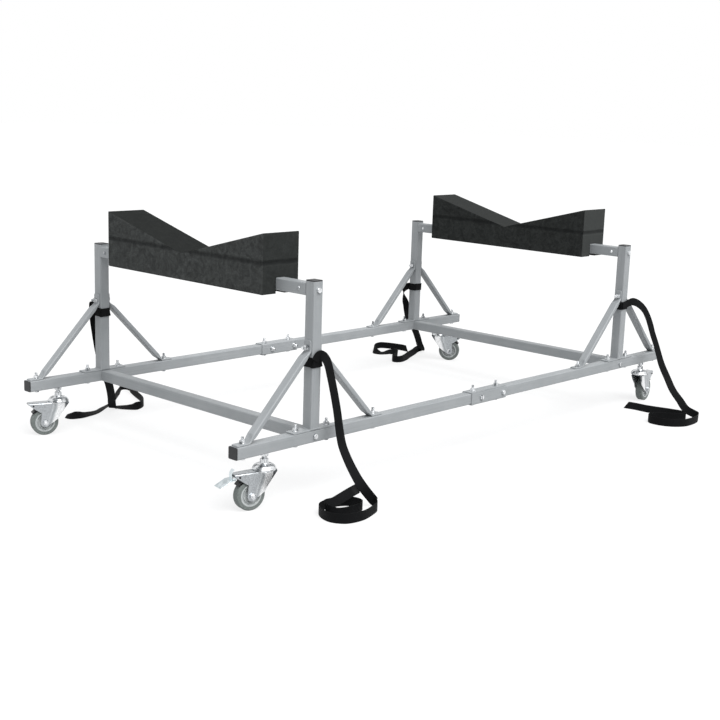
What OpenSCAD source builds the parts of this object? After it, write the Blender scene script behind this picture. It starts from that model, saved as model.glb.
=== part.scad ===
// Rolling kayak stand: two foam vee cradles on a bolted square-tube frame with four swivel casters.
// Origin on the floor under the middle of the overall box, +X along the rails, +Z up, millimetres.

/* [Frame tube] */
// Outside width of the square tube
tube_w = 31.75; // [28:0.25:38]
// Wall of the square tube
tube_wall = 1.6; // [1.2:0.1:3]
// Overall width across the two rails
stand_w = 943; // [800:1:1100]
// Length of both rail halves together, without the end caps
rail_l = 1960; // [1900:10:2300]
// Height of the rail's underside above the floor
rail_z = 142; // [136:1:170]

/* [Posts] */
// Distance between the left and right posts, centre to centre
post_pitch = 1440; // [1400:5:1470]
// Post height above the rail's top face
post_h = 383; // [340:1:450]
// Length of the foot plate under a post
foot_plate_l = 150; // [136:1:180]
// Thickness of the foot plate
foot_plate_t = 4; // [3:0.5:6]
// Distance of the foot plate's bolts from the post's centre line
foot_plate_bolt = 55; // [45:1:60]

/* [Braces] */
// Width of a brace across the rail
brace_w = 25.4; // [20:0.1:30]
// Depth of a brace's section
brace_t = 12.7; // [10:0.1:16]
// Thickness of a brace's flattened ends
tab_t = 4; // [3:0.5:5]
// Distance of a brace's foot bolt from the post's centre line
brace_reach = 232; // [200:1:236]
// Height of the brace's upper bolt above the rail's top face
brace_rise = 216; // [200:1:240]

/* [Rail coupler] */
// Length of the coupler angles
coupler_l = 165; // [150:1:220]
// Thickness of the coupler angles
coupler_t = 3; // [2:0.5:5]

/* [Cradles] */
// Height of the cradle bar's centre below the post's top
bar_drop = 21.5; // [18:0.5:40]
// Length of the foam block across the stand
foam_l = 663; // [560:1:740]
// Thickness of the foam block along the stand
foam_t = 126; // [90:1:150]
// Height of the foam block at its two peaks
foam_h = 158; // [130:1:200]
// Depth of the vee below the peaks
vee_d = 86; // [50:1:95]
// How far the foam hangs below the cradle bar
foam_skirt = 10; // [5:1:25]

/* [Bolts] */
// Diameter of the frame bolts
bolt_d = 8; // [6:0.5:9]
// Clearance of a bolt hole on its radius
hole_gap = 0.3; // [0.2:0.05:0.5]
// Size of a hexagon across its flats
hex_af = 13; // [12:0.5:14]
// Thickness of a nut
nut_t = 6.5; // [5:0.5:8]
// Thickness of a bolt head
head_t = 5.3; // [4:0.1:7]
// Thickness of a washer
washer_t = 1.5; // [1:0.1:2.5]
// Thread that stands out of a nut
thread_out = 7; // [4:0.5:10]

/* [Casters] */
// Diameter of the wheel over its tyre
wheel_d = 80; // [72:1:82]
// Width of the tyre
tyre_w = 24; // [20:0.5:25]
// Diameter of the wheel's hub under the tyre
hub_d = 58; // [50:1:60]
// Distance of a caster's stem from the rail's end
stem_inset = 101; // [90:1:115]
// Trail of the wheel behind the swivel axis
trail = 42; // [38:0.5:46]
// Diameter of the caster's stem
stem_d = 12; // [10:0.5:14]
// Diameter of the bearing cup on the caster's head
cup_d = 60; // [54:1:64]
// Height of the fork's crown above the floor
crown_z = 99.5; // [98:0.5:104]
// Thickness of the fork's sheet steel
fork_t = 2.5; // [2:0.1:3]
// Gap between the fork's cheeks
fork_gap = 30; // [29:0.5:32]
// Diameter of the wheel's axle bolt
axle_d = 8; // [7:0.5:9]

/* [Straps] */
// Width of the webbing
strap_w = 25.4; // [20:0.1:30]
// Thickness of the webbing
strap_t = 2; // [1.4:0.1:2.4]

/* [Hidden] */

// Rounding steps of the turned parts
$fn = 48;
// Small overlap that makes a cut come out cleanly
cut = 1;
// Rest gap between a soft or moving piece and its neighbour
seat_gap = 0.3;
// Running clearance of a pin in its bore, on the radius
run_gap = 0.05;

paint = "silver";
zinc = "lightgray";
black = [0.1, 0.1, 0.11];
rubber = [0.4, 0.42, 0.42];
foam_grey = [0.24, 0.24, 0.24];

half_tube = tube_w / 2;
rail_top = rail_z + tube_w;
rail_mid = rail_z + half_tube;
rail_y = stand_w / 2 - half_tube;
post_x = post_pitch / 2;
post_top = rail_top + post_h;
span = 2 * rail_y - tube_w;
bar_z = post_top - bar_drop;
bolt_r = bolt_d / 2;
hole_r = bolt_r + hole_gap;
hex_r = hex_af / sqrt(3);
washer_r = hex_r + 0.5;

// Which side of the stand a corner is on: [x sign, y sign]
NEAR_LEFT = [-1, -1];
NEAR_RIGHT = [1, -1];
FAR_LEFT = [-1, 1];
FAR_RIGHT = [1, 1];
CORNERS = [NEAR_LEFT, NEAR_RIGHT, FAR_LEFT, FAR_RIGHT];

// Shared hardware

// Hexagon prism along Z with its base at z = 0
module hex(height, af) {
    cylinder(h = height, r = af / sqrt(3), $fn = 6);
}

// Bolt along Z: its head's inner face is at z = 0 and the nut's seat is at z = grip
module bolt(grip) {
    translate([0, 0, -head_t])
        hex(head_t, hex_af);
    cylinder(h = grip + washer_t + nut_t + thread_out, r = bolt_r);
}

// Washer and nut that close a bolt, seated at z = grip
module nut_and_washer(grip) {
    translate([0, 0, grip])
        difference() {
            union() {
                cylinder(h = washer_t, r = washer_r);
                translate([0, 0, washer_t])
                    hex(nut_t, hex_af);
            }
            translate([0, 0, -cut])
                cylinder(h = washer_t + nut_t + 2 * cut, r = bolt_r + run_gap);
        }
}

module bolt_set(grip) {
    bolt(grip);
    nut_and_washer(grip);
}

// Bolt hole along Z from z = from to z = to
module bolt_hole(from, to) {
    translate([0, 0, from - cut])
        cylinder(h = to - from + 2 * cut, r = hole_r);
}

// Square tube along X, centred on the X axis
module tube_x(from, to) {
    translate([from, -half_tube, -half_tube])
        difference() {
            cube([to - from, tube_w, tube_w]);
            translate([-cut, tube_wall, tube_wall])
                cube([to - from + 2 * cut, tube_w - 2 * tube_wall, tube_w - 2 * tube_wall]);
        }
}

// Rails

// Coupler bolts: the upright ones and the level ones are staggered so that they miss each other
coupler_upright = [-58, 52];
coupler_level = [-38, 66];
stem_x = rail_l / 2 - stem_inset;
stem_hole_r = stem_d / 2 + hole_gap;

// Holes of one rail half, for the side given by its x sign
module rail_holes(side) {
    upright = side < 0 ? coupler_upright[0] : coupler_upright[1];
    level = side < 0 ? coupler_level[0] : coupler_level[1];
    for (x = [side * (post_x - brace_reach), side * (post_x - foot_plate_bolt),
              side * (post_x + foot_plate_bolt), side * (post_x + brace_reach), upright])
        translate([x, 0, 0])
            bolt_hole(-half_tube, half_tube);
    for (x = [level, side * post_x])
        translate([x, 0, 0])
            rotate([90, 0, 0])
                bolt_hole(-half_tube, half_tube);
    translate([side * stem_x, 0, -half_tube - cut])
        cylinder(h = tube_wall + 2 * cut, r = stem_hole_r);
}

module rail_half(corner) {
    color(paint)
        translate([0, corner[1] * rail_y, rail_mid])
            difference() {
                tube_x(min(0, corner[0] * rail_l / 2), max(0, corner[0] * rail_l / 2));
                rail_holes(corner[0]);
            }
}

// Coupler: one angle covers the top and the inner side, the other the outer side and the underside
module coupler_angle(y_side, z_side) {
    outer = half_tube + coupler_t;
    difference() {
        translate([-coupler_l / 2, y_side > 0 ? -half_tube : -outer, z_side > 0 ? -half_tube : -outer])
            cube([coupler_l, tube_w + coupler_t, tube_w + coupler_t]);
        translate([-coupler_l / 2 - cut, -half_tube - (y_side > 0 ? cut : 0),
                   -half_tube - (z_side > 0 ? cut : 0)])
            cube([coupler_l + 2 * cut, tube_w + cut, tube_w + cut]);
        for (x = coupler_upright)
            translate([x, 0, 0])
                bolt_hole(-outer, outer);
        for (x = coupler_level)
            translate([x, 0, 0])
                rotate([90, 0, 0])
                    bolt_hole(-outer, outer);
    }
}

module coupler_angles(side) {
    color(paint)
        translate([0, side * rail_y, rail_mid]) {
            coupler_angle(-side, 1);
            coupler_angle(side, -1);
        }
}

module coupler_bolts() {
    outer = half_tube + coupler_t;
    color(zinc)
        for (side = [-1, 1])
            translate([0, side * rail_y, rail_mid]) {
                for (x = coupler_upright)
                    translate([x, 0, -outer])
                        bolt_set(2 * outer);
                for (x = coupler_level)
                    translate([x, side * outer, 0])
                        rotate([side * 90, 0, 0])
                            bolt_set(2 * outer);
            }
}

// Plug that closes a tube's end: a head over the tube's edge and a skirt inside it, along +X
cap_t = 3;
cap_skirt = 14;
module tube_plug() {
    inside = tube_w - 2 * tube_wall - 2 * run_gap;
    translate([0, -half_tube, -half_tube])
        cube([cap_t, tube_w, tube_w]);
    translate([-cap_skirt, -inside / 2, -inside / 2])
        cube([cap_skirt, inside, inside]);
}

module rail_end_caps() {
    color(black)
        for (c = CORNERS)
            translate([c[0] * rail_l / 2, c[1] * rail_y, rail_mid])
                rotate([0, 0, c[0] < 0 ? 180 : 0])
                    tube_plug();
}

module post_caps() {
    color(black)
        for (c = CORNERS)
            translate([c[0] * post_x, c[1] * rail_y, post_top])
                rotate([0, -90, 0])
                    tube_plug();
}

// Cross tubes and cradle bars: a tube along Y with a welded plate in each end that a bolt pulls up
end_plate_t = 4;
bar_screw_d = 5;
bar_screw_in = 24;
bar_screw_head = 3;
module tube_between_rails() {
    difference() {
        union() {
            rotate([0, 0, 90])
                tube_x(-span / 2, span / 2);
            for (side = [-1, 1])
                translate([0, side * (span - end_plate_t) / 2, 0])
                    cube([tube_w - tube_wall, end_plate_t, tube_w - tube_wall], center = true);
        }
        rotate([90, 0, 0])
            bolt_hole(-span / 2, span / 2);
    }
}

module cross_tube(side) {
    color(paint)
        translate([side * post_x, 0, rail_mid])
            tube_between_rails();
}

module cradle_bar(side) {
    color(paint)
        translate([side * post_x, 0, bar_z])
            difference() {
                tube_between_rails();
                for (end = [-1, 1])
                    translate([-half_tube - cut, end * (span / 2 - bar_screw_in), 0])
                        rotate([0, 90, 0])
                            cylinder(h = tube_w + 2 * cut, r = bar_screw_d / 2 + hole_gap);
            }
}

// Bolts through a rail or a post into the end plate of a tube between them
module end_bolts(z) {
    color(zinc)
        for (c = CORNERS)
            translate([c[0] * post_x, c[1] * (rail_y + half_tube), z])
                rotate([c[1] * 90, 0, 0])
                    bolt_set(tube_w + end_plate_t);
}

module cross_tube_bolts() {
    end_bolts(rail_mid);
}

// Round-headed screw along Z, with its head seated at z = 0
module bar_screw() {
    translate([0, 0, -tube_w])
        cylinder(h = tube_w, r = bar_screw_d / 2);
    cylinder(h = bar_screw_head, r = bar_screw_d);
}

// The cradle bar's own screws sit on its left face, near each end
module cradle_bar_bolts() {
    end_bolts(bar_z);
    color(zinc)
        for (x = [-1, 1], y = [-1, 1])
            translate([x * post_x - half_tube, y * (span / 2 - bar_screw_in), bar_z])
                rotate([0, -90, 0])
                    bar_screw();
}

// Posts

module post(corner) {
    color(paint)
        translate([corner[0] * post_x, corner[1] * rail_y, rail_top])
            difference() {
                union() {
                    translate([0, 0, foot_plate_t / 2])
                        cube([foot_plate_l, tube_w, foot_plate_t], center = true);
                    rotate([0, -90, 0])
                        tube_x(foot_plate_t / 2, post_h);
                }
                for (x = [-foot_plate_bolt, foot_plate_bolt])
                    translate([x, 0, 0])
                        bolt_hole(0, foot_plate_t);
                translate([0, 0, brace_rise])
                    rotate([0, 90, 0])
                        bolt_hole(-half_tube, half_tube);
                translate([0, 0, post_h - bar_drop])
                    rotate([90, 0, 0])
                        bolt_hole(-half_tube, half_tube);
            }
}

module post_foot_bolts() {
    color(zinc)
        for (c = CORNERS, x = [-foot_plate_bolt, foot_plate_bolt])
            translate([c[0] * post_x + x, c[1] * rail_y, rail_z])
                bolt_set(tube_w + foot_plate_t);
}

// Braces: a flat-sided tube with both ends pressed flat, one lying on the rail, one against the post

foot_bend = 14;
foot_tab = 26;
top_bend = 10;
top_tab = 19;
press_run = 24;

// Profile of the brace to the right of a post, in the XZ plane from the post's centre and rail top
brace_low = [brace_reach - foot_bend, tab_t / 2];
brace_high = [half_tube + tab_t / 2, brace_rise - top_bend];
brace_run = brace_high - brace_low;
brace_dir = brace_run / norm(brace_run);
brace_side = [-brace_dir[1], brace_dir[0]];
brace_wall = 1.5;

// Points of the sloping part: pressed thin at both ends and full depth between
function slope_outline(depth, from, to) = [
    brace_low + brace_dir * from - brace_side * depth / 2,
    brace_high - brace_dir * to - brace_side * depth / 2,
    brace_high - brace_dir * to + brace_side * depth / 2,
    brace_low + brace_dir * from + brace_side * depth / 2];

function pressed_end(at, away) = [
    at - brace_side * tab_t / 2,
    at + away * press_run - brace_side * brace_t / 2,
    at + away * press_run + brace_side * brace_t / 2,
    at + brace_side * tab_t / 2];

module brace_profile() {
    polygon(slope_outline(brace_t, press_run, press_run));
    polygon(pressed_end(brace_low, brace_dir));
    polygon(pressed_end(brace_high, -brace_dir));
    translate([brace_low[0] - tab_t, 0])
        square([foot_bend + foot_tab + tab_t, tab_t]);
    translate([half_tube, brace_high[1] - tab_t])
        square([tab_t, top_bend + top_tab + tab_t]);
}

module brace() {
    difference() {
        rotate([90, 0, 0])
            linear_extrude(height = brace_w, center = true)
                brace_profile();
        rotate([90, 0, 0])
            linear_extrude(height = brace_w - 2 * brace_wall, center = true)
                polygon(slope_outline(brace_t - 2 * brace_wall, press_run, press_run));
        translate([brace_reach, 0, 0])
            bolt_hole(0, tab_t);
        translate([half_tube, 0, brace_rise])
            rotate([0, 90, 0])
                bolt_hole(0, tab_t);
    }
}

module braces(corner) {
    color(paint)
        translate([corner[0] * post_x, corner[1] * rail_y, rail_top])
            for (turn = [0, 180])
                rotate([0, 0, turn])
                    brace();
}

module brace_foot_bolts() {
    color(zinc)
        for (c = CORNERS, x = [-brace_reach, brace_reach])
            translate([c[0] * post_x + x, c[1] * rail_y, rail_z])
                bolt_set(tube_w + tab_t);
}

module brace_top_bolts() {
    color(zinc)
        for (c = CORNERS)
            translate([c[0] * post_x + half_tube + tab_t, c[1] * rail_y, rail_top + brace_rise])
                rotate([0, -90, 0])
                    bolt_set(tube_w + 2 * tab_t);
}

// Foam cradles: a block with a vee in its top and a slot below that straddles the cradle bar

foam_low = bar_z - half_tube - foam_skirt;
foam_high = foam_low + foam_h;

module foam_cradle(side) {
    color(foam_grey)
        translate([side * post_x, 0, 0])
            difference() {
                rotate([90, 0, 90])
                    linear_extrude(height = foam_t, center = true)
                        polygon([[-foam_l / 2, foam_low], [foam_l / 2, foam_low], [foam_l / 2, foam_high],
                                 [0, foam_high - vee_d], [-foam_l / 2, foam_high]]);
                translate([-half_tube - seat_gap, -foam_l / 2 - cut, foam_low - cut])
                    cube([tube_w + 2 * seat_gap, foam_l + 2 * cut,
                          foam_skirt + tube_w + seat_gap + cut]);
            }
}

// Casters. Each is drawn with its swivel axis on Z and its wheel trailing towards +X

// Direction in which each caster trails, in degrees from +X
CASTER_TURNS = [["near_left", NEAR_LEFT, 168], ["near_right", NEAR_RIGHT, 8],
                ["far_left", FAR_LEFT, 160], ["far_right", FAR_RIGHT, -55]];
wheel_r = wheel_d / 2;
stem_r = stem_d / 2;
stem_hex_af = 19;
stem_hex_t = 10;
cup_z = crown_z + seat_gap;
cup_h = 17;
cup_rim = 4;
cup_shoulder = 12;
pin_head_r = 10;
pin_head_t = 3;
stem_out = 5;
jam_t = 9;
ball_r = 2.5;
ball_ring_r = 19;
ball_count = 12;
hub_w = 26;
horn_l = 90;
horn_hole_in = 9;
horn_hole_r = 2.5;
fork_w = fork_gap + 2 * fork_t;
crown_r = cup_d / 2 - 2;

module at_caster(caster) {
    translate([caster[1][0] * stem_x, caster[1][1] * rail_y, 0])
        rotate([0, 0, caster[2]])
            children();
}

// Threaded stem with its wrench flats, and the king pin that hangs the fork under the cup
module caster_stem() {
    foot = crown_z - fork_t - pin_head_t - seat_gap;
    translate([0, 0, foot])
        cylinder(h = pin_head_t, r = pin_head_r);
    translate([0, 0, foot])
        cylinder(h = rail_z + tube_wall + nut_t + stem_out - foot, r = stem_r);
    translate([0, 0, cup_z + cup_h])
        hex(stem_hex_t, stem_hex_af);
}

module caster_stems() {
    color(zinc)
        for (c = CASTER_TURNS)
            at_caster(c)
                caster_stem();
}

// One nut clamps the rail's lower wall from below and one from inside
module caster_nuts() {
    color(zinc)
        for (c = CASTER_TURNS)
            at_caster(c)
                difference() {
                    union() {
                        translate([0, 0, rail_z - jam_t])
                            hex(jam_t, stem_hex_af);
                        translate([0, 0, rail_z + tube_wall])
                            hex(nut_t, stem_hex_af);
                    }
                    translate([0, 0, rail_z - jam_t - cut])
                        cylinder(h = jam_t + tube_wall + nut_t + 2 * cut, r = stem_r + run_gap);
                }
}

// Pressed cup that covers the ball race on top of the crown
module bearing_cups() {
    color(zinc)
        for (c = CASTER_TURNS)
            at_caster(c)
                translate([0, 0, cup_z])
                    rotate_extrude()
                        difference() {
                            polygon([[stem_r + run_gap, ball_r], [ball_ring_r - ball_r - 1, 0],
                                     [ball_ring_r + ball_r + 1, 0], [cup_d / 2, 0],
                                     [cup_d / 2, cup_rim], [cup_d / 2 - 2, cup_rim + 4],
                                     [cup_d / 2 - 7, cup_shoulder], [stem_r + 11, cup_h - 2],
                                     [stem_r + 6, cup_h], [stem_r + run_gap, cup_h]]);
                            translate([ball_ring_r, ball_r])
                                circle(r = ball_r + run_gap, $fn = 32);
                            translate([ball_ring_r - ball_r - run_gap, -cut])
                                square([2 * (ball_r + run_gap), ball_r + cut]);
                        }
}

module swivel_balls() {
    color("gray")
        for (c = CASTER_TURNS)
            at_caster(c)
                for (i = [0 : ball_count - 1])
                    rotate([0, 0, i * 360 / ball_count])
                        translate([ball_ring_r, 0, crown_z + run_gap + ball_r])
                            sphere(r = ball_r, $fn = 24);
}

// Side view of a fork cheek: it runs from under the crown down to a round end at the axle
cheek_end_r = 14;
brake_pin_x = 76;
brake_pin_z = crown_z - 8.5;
brake_pin_r = 2.5;
module fork_cheek() {
    rotate([90, 0, 0])
        linear_extrude(height = fork_t, center = true)
            difference() {
                union() {
                    polygon([[-crown_r, crown_z], [-crown_r, crown_z - 4], [trail - 38, wheel_r + 10],
                             [trail - 9, wheel_r - 11], [trail + 13, wheel_r - 5],
                             [trail + 13, wheel_r + 5], [trail + 6, wheel_r + 22],
                             [trail + 13, wheel_r + 30], [trail + 25, wheel_r + 38],
                             [trail + 38, wheel_r + 49], [horn_l, crown_z - fork_t],
                             [horn_l, crown_z]]);
                    translate([trail, wheel_r])
                        circle(r = cheek_end_r);
                }
                translate([trail, wheel_r])
                    circle(r = axle_d / 2 + run_gap);
                translate([brake_pin_x, brake_pin_z])
                    circle(r = brake_pin_r + run_gap);
            }
}

module fork() {
    difference() {
        union() {
            translate([0, 0, crown_z - fork_t])
                cylinder(h = fork_t, r = crown_r);
            translate([-crown_r / 2, -fork_w / 2, crown_z - fork_t])
                cube([crown_r / 2 + horn_l, fork_w, fork_t]);
            for (side = [-1, 1])
                translate([0, side * (fork_gap + fork_t) / 2, 0])
                    fork_cheek();
        }
        translate([0, 0, crown_z - fork_t - cut])
            cylinder(h = fork_t + 2 * cut, r = stem_r + run_gap);
        translate([horn_l - horn_hole_in, 0, crown_z - fork_t - cut])
            cylinder(h = fork_t + 2 * cut, r = horn_hole_r);
    }
}

module axle_bolt() {
    reach = fork_gap / 2 + fork_t;
    translate([trail, -reach, wheel_r])
        rotate([-90, 0, 0]) {
            translate([0, 0, -head_t])
                hex(head_t, hex_af);
            cylinder(h = 2 * reach + nut_t + 2, r = axle_d / 2);
            translate([0, 0, 2 * reach])
                hex(nut_t, hex_af);
        }
}

module hub() {
    translate([trail, 0, wheel_r])
        rotate([90, 0, 0])
            rotate_extrude()
                polygon([[axle_d / 2 + run_gap, -hub_w / 2], [9, -hub_w / 2], [9, -hub_w / 2 + 3],
                         [hub_d / 2 - 5, -hub_w / 2 + 5], [hub_d / 2 - 4, -tyre_w / 2],
                         [hub_d / 2, -tyre_w / 2], [hub_d / 2, tyre_w / 2],
                         [hub_d / 2 - 4, tyre_w / 2], [hub_d / 2 - 5, hub_w / 2 - 5],
                         [9, hub_w / 2 - 3], [9, hub_w / 2], [axle_d / 2 + run_gap, hub_w / 2]]);
}

module tyre() {
    crown_flat = 7;
    translate([trail, 0, wheel_r])
        rotate([90, 0, 0])
            rotate_extrude()
                polygon([[hub_d / 2, -tyre_w / 2], [wheel_r - 4, -tyre_w / 2],
                         [wheel_r - 1.2, -tyre_w / 2 + 2.5], [wheel_r, -crown_flat],
                         [wheel_r, crown_flat], [wheel_r - 1.2, tyre_w / 2 - 2.5],
                         [wheel_r - 4, tyre_w / 2], [hub_d / 2, tyre_w / 2]]);
}

// Black shoe that arches over the tread under the horn. Its stalk hangs on a pin moulded in one
// with it, whose ends turn in the fork's cheeks
shoe_gap = 2.7;
shoe_t = 4;
shoe_from = 38;
shoe_to = 80;
shoe_w = 22;
stalk_w = 14;
stalk_r = 4.5;
stalk_t = 7;
module brake_shoe() {
    reach = 2 * wheel_r;
    stalk_l = norm([brake_pin_x - trail, brake_pin_z - wheel_r]);
    stalk_turn = atan2(brake_pin_z - wheel_r, brake_pin_x - trail);
    rotate([90, 0, 0]) {
        translate([trail, wheel_r])
            intersection() {
                linear_extrude(height = shoe_w, center = true)
                    difference() {
                        circle(r = wheel_r + shoe_gap + shoe_t, $fn = 64);
                        circle(r = wheel_r + shoe_gap, $fn = 64);
                    }
                linear_extrude(height = shoe_w + cut, center = true)
                    polygon([[0, 0], [reach * cos(shoe_from), reach * sin(shoe_from)],
                             [reach * cos(shoe_to), reach * sin(shoe_to)]]);
            }
        translate([trail, wheel_r])
            rotate([0, 0, stalk_turn])
                translate([wheel_r + shoe_gap + shoe_t / 2, -stalk_t / 2, -stalk_w / 2])
                    cube([stalk_l - wheel_r - shoe_gap - shoe_t / 2, stalk_t, stalk_w]);
        translate([brake_pin_x, brake_pin_z]) {
            cylinder(h = stalk_w, r = stalk_r, center = true);
            cylinder(h = fork_w, r = brake_pin_r, center = true);
        }
    }
}

module caster_part(index) {
    at_caster(CASTER_TURNS[index])
        children();
}

// Brake pedal of the near left caster: two ears on the shoe's pin carry a wide foot plate whose
// outer part slopes down, and a narrow release tab that stands up in front of the horn and leans
// back over it
pedal_t = 2;
pedal_w = 34;
pedal_in = horn_l - 3;
pedal_bend = horn_l + 13;
pedal_out = horn_l + 40;
pedal_drop = 15;
release_w = 14;
release_h = 12;
release_lean = 7;
module brake_pedal() {
    plate_z = brake_pin_z - 6;
    ear_y = stalk_w / 2 + run_gap + pedal_t / 2;
    release_at = horn_l + 2.5;
    color(zinc)
        caster_part(0)
            rotate([90, 0, 0]) {
                for (side = [-1, 1])
                    translate([0, 0, side * ear_y])
                        linear_extrude(height = pedal_t, center = true)
                            difference() {
                                union() {
                                    translate([brake_pin_x, brake_pin_z])
                                        circle(r = brake_pin_r + 2.5);
                                    polygon([[brake_pin_x, brake_pin_z - brake_pin_r - 2],
                                             [brake_pin_x, brake_pin_z + brake_pin_r + 2],
                                             [pedal_in + 6, plate_z + 2],
                                             [pedal_in + 6, plate_z - 2]]);
                                }
                                translate([brake_pin_x, brake_pin_z])
                                    circle(r = brake_pin_r + run_gap);
                            }
                linear_extrude(height = pedal_w, center = true)
                    polygon([[pedal_in, plate_z], [pedal_bend, plate_z],
                             [pedal_out, plate_z - pedal_drop],
                             [pedal_out, plate_z - pedal_drop + pedal_t],
                             [pedal_bend, plate_z + pedal_t], [pedal_in, plate_z + pedal_t]]);
                linear_extrude(height = release_w, center = true)
                    polygon([[release_at, plate_z], [release_at + pedal_t, plate_z],
                             [release_at + pedal_t, crown_z + 1],
                             [release_at + pedal_t - release_lean, crown_z + release_h],
                             [release_at - release_lean, crown_z + release_h],
                             [release_at, crown_z + 1]]);
            }
}

// Straps: each has a band round its post and a free stretch of webbing that falls to the floor

// Height of each band's centre, in the order of CORNERS
band_z = [351, 358, 352, 307];
band_in = half_tube + seat_gap;
band_out = band_in + strap_t;
// Top of the tab that the far left strap leaves its band by, and the tab's middle off the post's
tab_top = 380;
tab_shift = -12;

module strap_loops() {
    color(black)
        for (i = [0 : 3])
            translate([CORNERS[i][0] * post_x, CORNERS[i][1] * rail_y, band_z[i]])
                difference() {
                    cube([2 * band_out, 2 * band_out, strap_w], center = true);
                    cube([2 * band_in, 2 * band_in, strap_w + 2 * cut], center = true);
                }
    color(black)
        translate([-post_x + tab_shift, rail_y + band_out, (band_z[2] - strap_w / 2 + tab_top) / 2])
            cube([strap_w, strap_t, tab_top - band_z[2] + strap_w / 2], center = true);
}

// Route points of the free stretches: [x, y, z, heading of the width, lean of the width], in degrees
near_left_route = [
    [-729, -475, 356, 0, 122], [-723, -475, 365, 0, 116], [-715, -476, 370, 0, 95],
    [-706, -479, 367, 0, 62], [-699, -484, 357, -2, 35], [-695, -489, 341, -4, 16],
    [-691, -492, 320, -5, 6], [-687, -496, 295, -5, 0], [-681, -501, 258, -6, 0],
    [-678, -508.1, 220, -7, 0], [-678.5, -517.9, 177.2, -9, 0], [-680.9, -531.4, 140.9, -14, 0],
    [-684.8, -553.5, 112.2, -20, 0], [-688.6, -580.1, 84.8, -30, 0], [-688.5, -605, 59.1, -40, 5],
    [-682.8, -621.2, 40.1, -45, 20], [-674.1, -632.1, 23.8, -45, 50], [-668, -637, 14, -45, 80],
    [-682, -660, 13, 0, 90], [-722, -680, 13, 0, 90], [-776, -691, 13, 0, 90], [-817, -680, 13, 0, 90],
    [-836, -648, 13, 0, 90], [-830, -612, 13, 0, 90], [-802, -577, 13, 0, 90], [-766, -571, 13, 0, 90],
    [-735, -576, 13, 0, 90], [-713, -591, 13, 0, 90], [-703, -612, 13, 0, 90], [-707, -632, 13, 0, 90],
    [-724, -643, 13, 0, 90], [-752, -646, 13, 0, 90], [-782, -643, 13, 0, 90], [-804, -635, 15, 10, 88],
    [-815, -620, 21, 60, 80], [-811, -607, 28, 95, 68], [-785.4, -610, 30.8, 105, 60],
    [-767.6, -611.4, 35.6, 105, 56], [-747, -610, 39.6, 105, 55], [-727, -607.9, 42.7, 105, 55],
    [-706.6, -600.4, 41.8, 105, 57], [-684, -589.3, 38.6, 100, 62], [-669.6, -584.3, 38, 95, 66]];

near_right_route = [
    [706, -475, 358, 0, 98], [722, -475, 361, 0, 100], [738, -477, 366, 0, 98], [754, -480, 369, 0, 84],
    [772, -484, 365, 0, 66], [792, -488, 355, 0, 50], [818.2, -494, 332.8, -5, 35],
    [827.7, -502, 309.9, -10, 20], [834.7, -509, 285, -15, 8], [839.9, -517, 256.1, -15, 0],
    [849.2, -528, 219.3, -15, 0], [852.6, -539, 187.2, -20, 0], [852.4, -552, 156.3, -28, 0],
    [853.6, -579, 109.8, -38, 0], [837.5, -612, 76, -45, 5], [820.7, -650, 51, -45, 20],
    [798.8, -692, 28.5, -45, 45], [814, -722, 13, -45, 80], [782, -741, 13, 0, 90], [738, -748, 13, 0, 90],
    [690, -743, 13, 0, 90], [654, -714, 13, 0, 90], [640, -678, 13, 0, 90], [644, -644, 13, 0, 90],
    [668, -627, 13, 0, 90], [700, -640, 13, 0, 90], [726, -668, 13, 0, 90], [752, -694, 13, 0, 90],
    [778, -700, 13, 0, 90], [788, -682, 13, 0, 90], [783, -645, 13, 0, 85], [773, -602, 12, -5, 70],
    [768, -556, 11, -5, 60], [768, -514, 11, -5, 57], [762, -483, 11, -5, 57]];

far_left_route = [
    [-732, 475.3, 379.5, 0, 0], [-732, 481, 381, 0, 0], [-731.6, 486, 377.5, 0, 0],
    [-730.1, 490.1, 365.1, 0, 0], [-728.8, 491.7, 346.3, 0, 0], [-726.4, 492.1, 323.2, 0, 0],
    [-722.4, 492.1, 296.1, 0, 0], [-717.5, 492.8, 270.6, -2, 0], [-706.8, 496, 228.3, -8, 0],
    [-689.6, 502.5, 180.9, -18, 0], [-670.4, 511.4, 141.9, -30, 0], [-649.7, 524.4, 105.6, -40, 0],
    [-632.1, 540.6, 76.1, -43, 0], [-612.2, 563.3, 44.7, -43, 0], [-597.3, 582.5, 20.6, -43, 0],
    [-590, 588, 6, -60, 0], [-577, 587, 6, -105, -5], [-564, 576, 6, -145, -14], [-552, 558, 8, -145, -25],
    [-538, 542, 11, -150, -45], [-518, 540, 13, -180, -70], [-494, 556, 13, -200, -88],
    [-472, 588, 13, -210, -90], [-453, 630, 13, -233, -90], [-430, 690, 13, -233, -90],
    [-408, 742, 13, -233, -90], [-393, 772, 13, -233, -90], [-393, 786, 13, -233, -90],
    [-402, 794, 13, -233, -90], [-413, 789, 13, -233, -90], [-427, 774, 13, -233, -90],
    [-450, 747, 13, -233, -90], [-480, 717, 13, -233, -90], [-508, 688, 13, -233, -90],
    [-538, 656, 13, -233, -75], [-564, 640, 9, -233, -42], [-588, 626, 3, -233, -14],
    [-611, 613, 2.5, -233, -10], [-634, 598, 3, -238, -6], [-657, 584, 4, -245, 4],
    [-682, 572, 6, -252, 14], [-708, 565, 8, -256, 24], [-732, 560, 11, -256, 45],
    [-748, 562, 12, -280, 50], [-757, 574, 9, -310, 35], [-762, 594, 5, -335, 12]];

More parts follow.
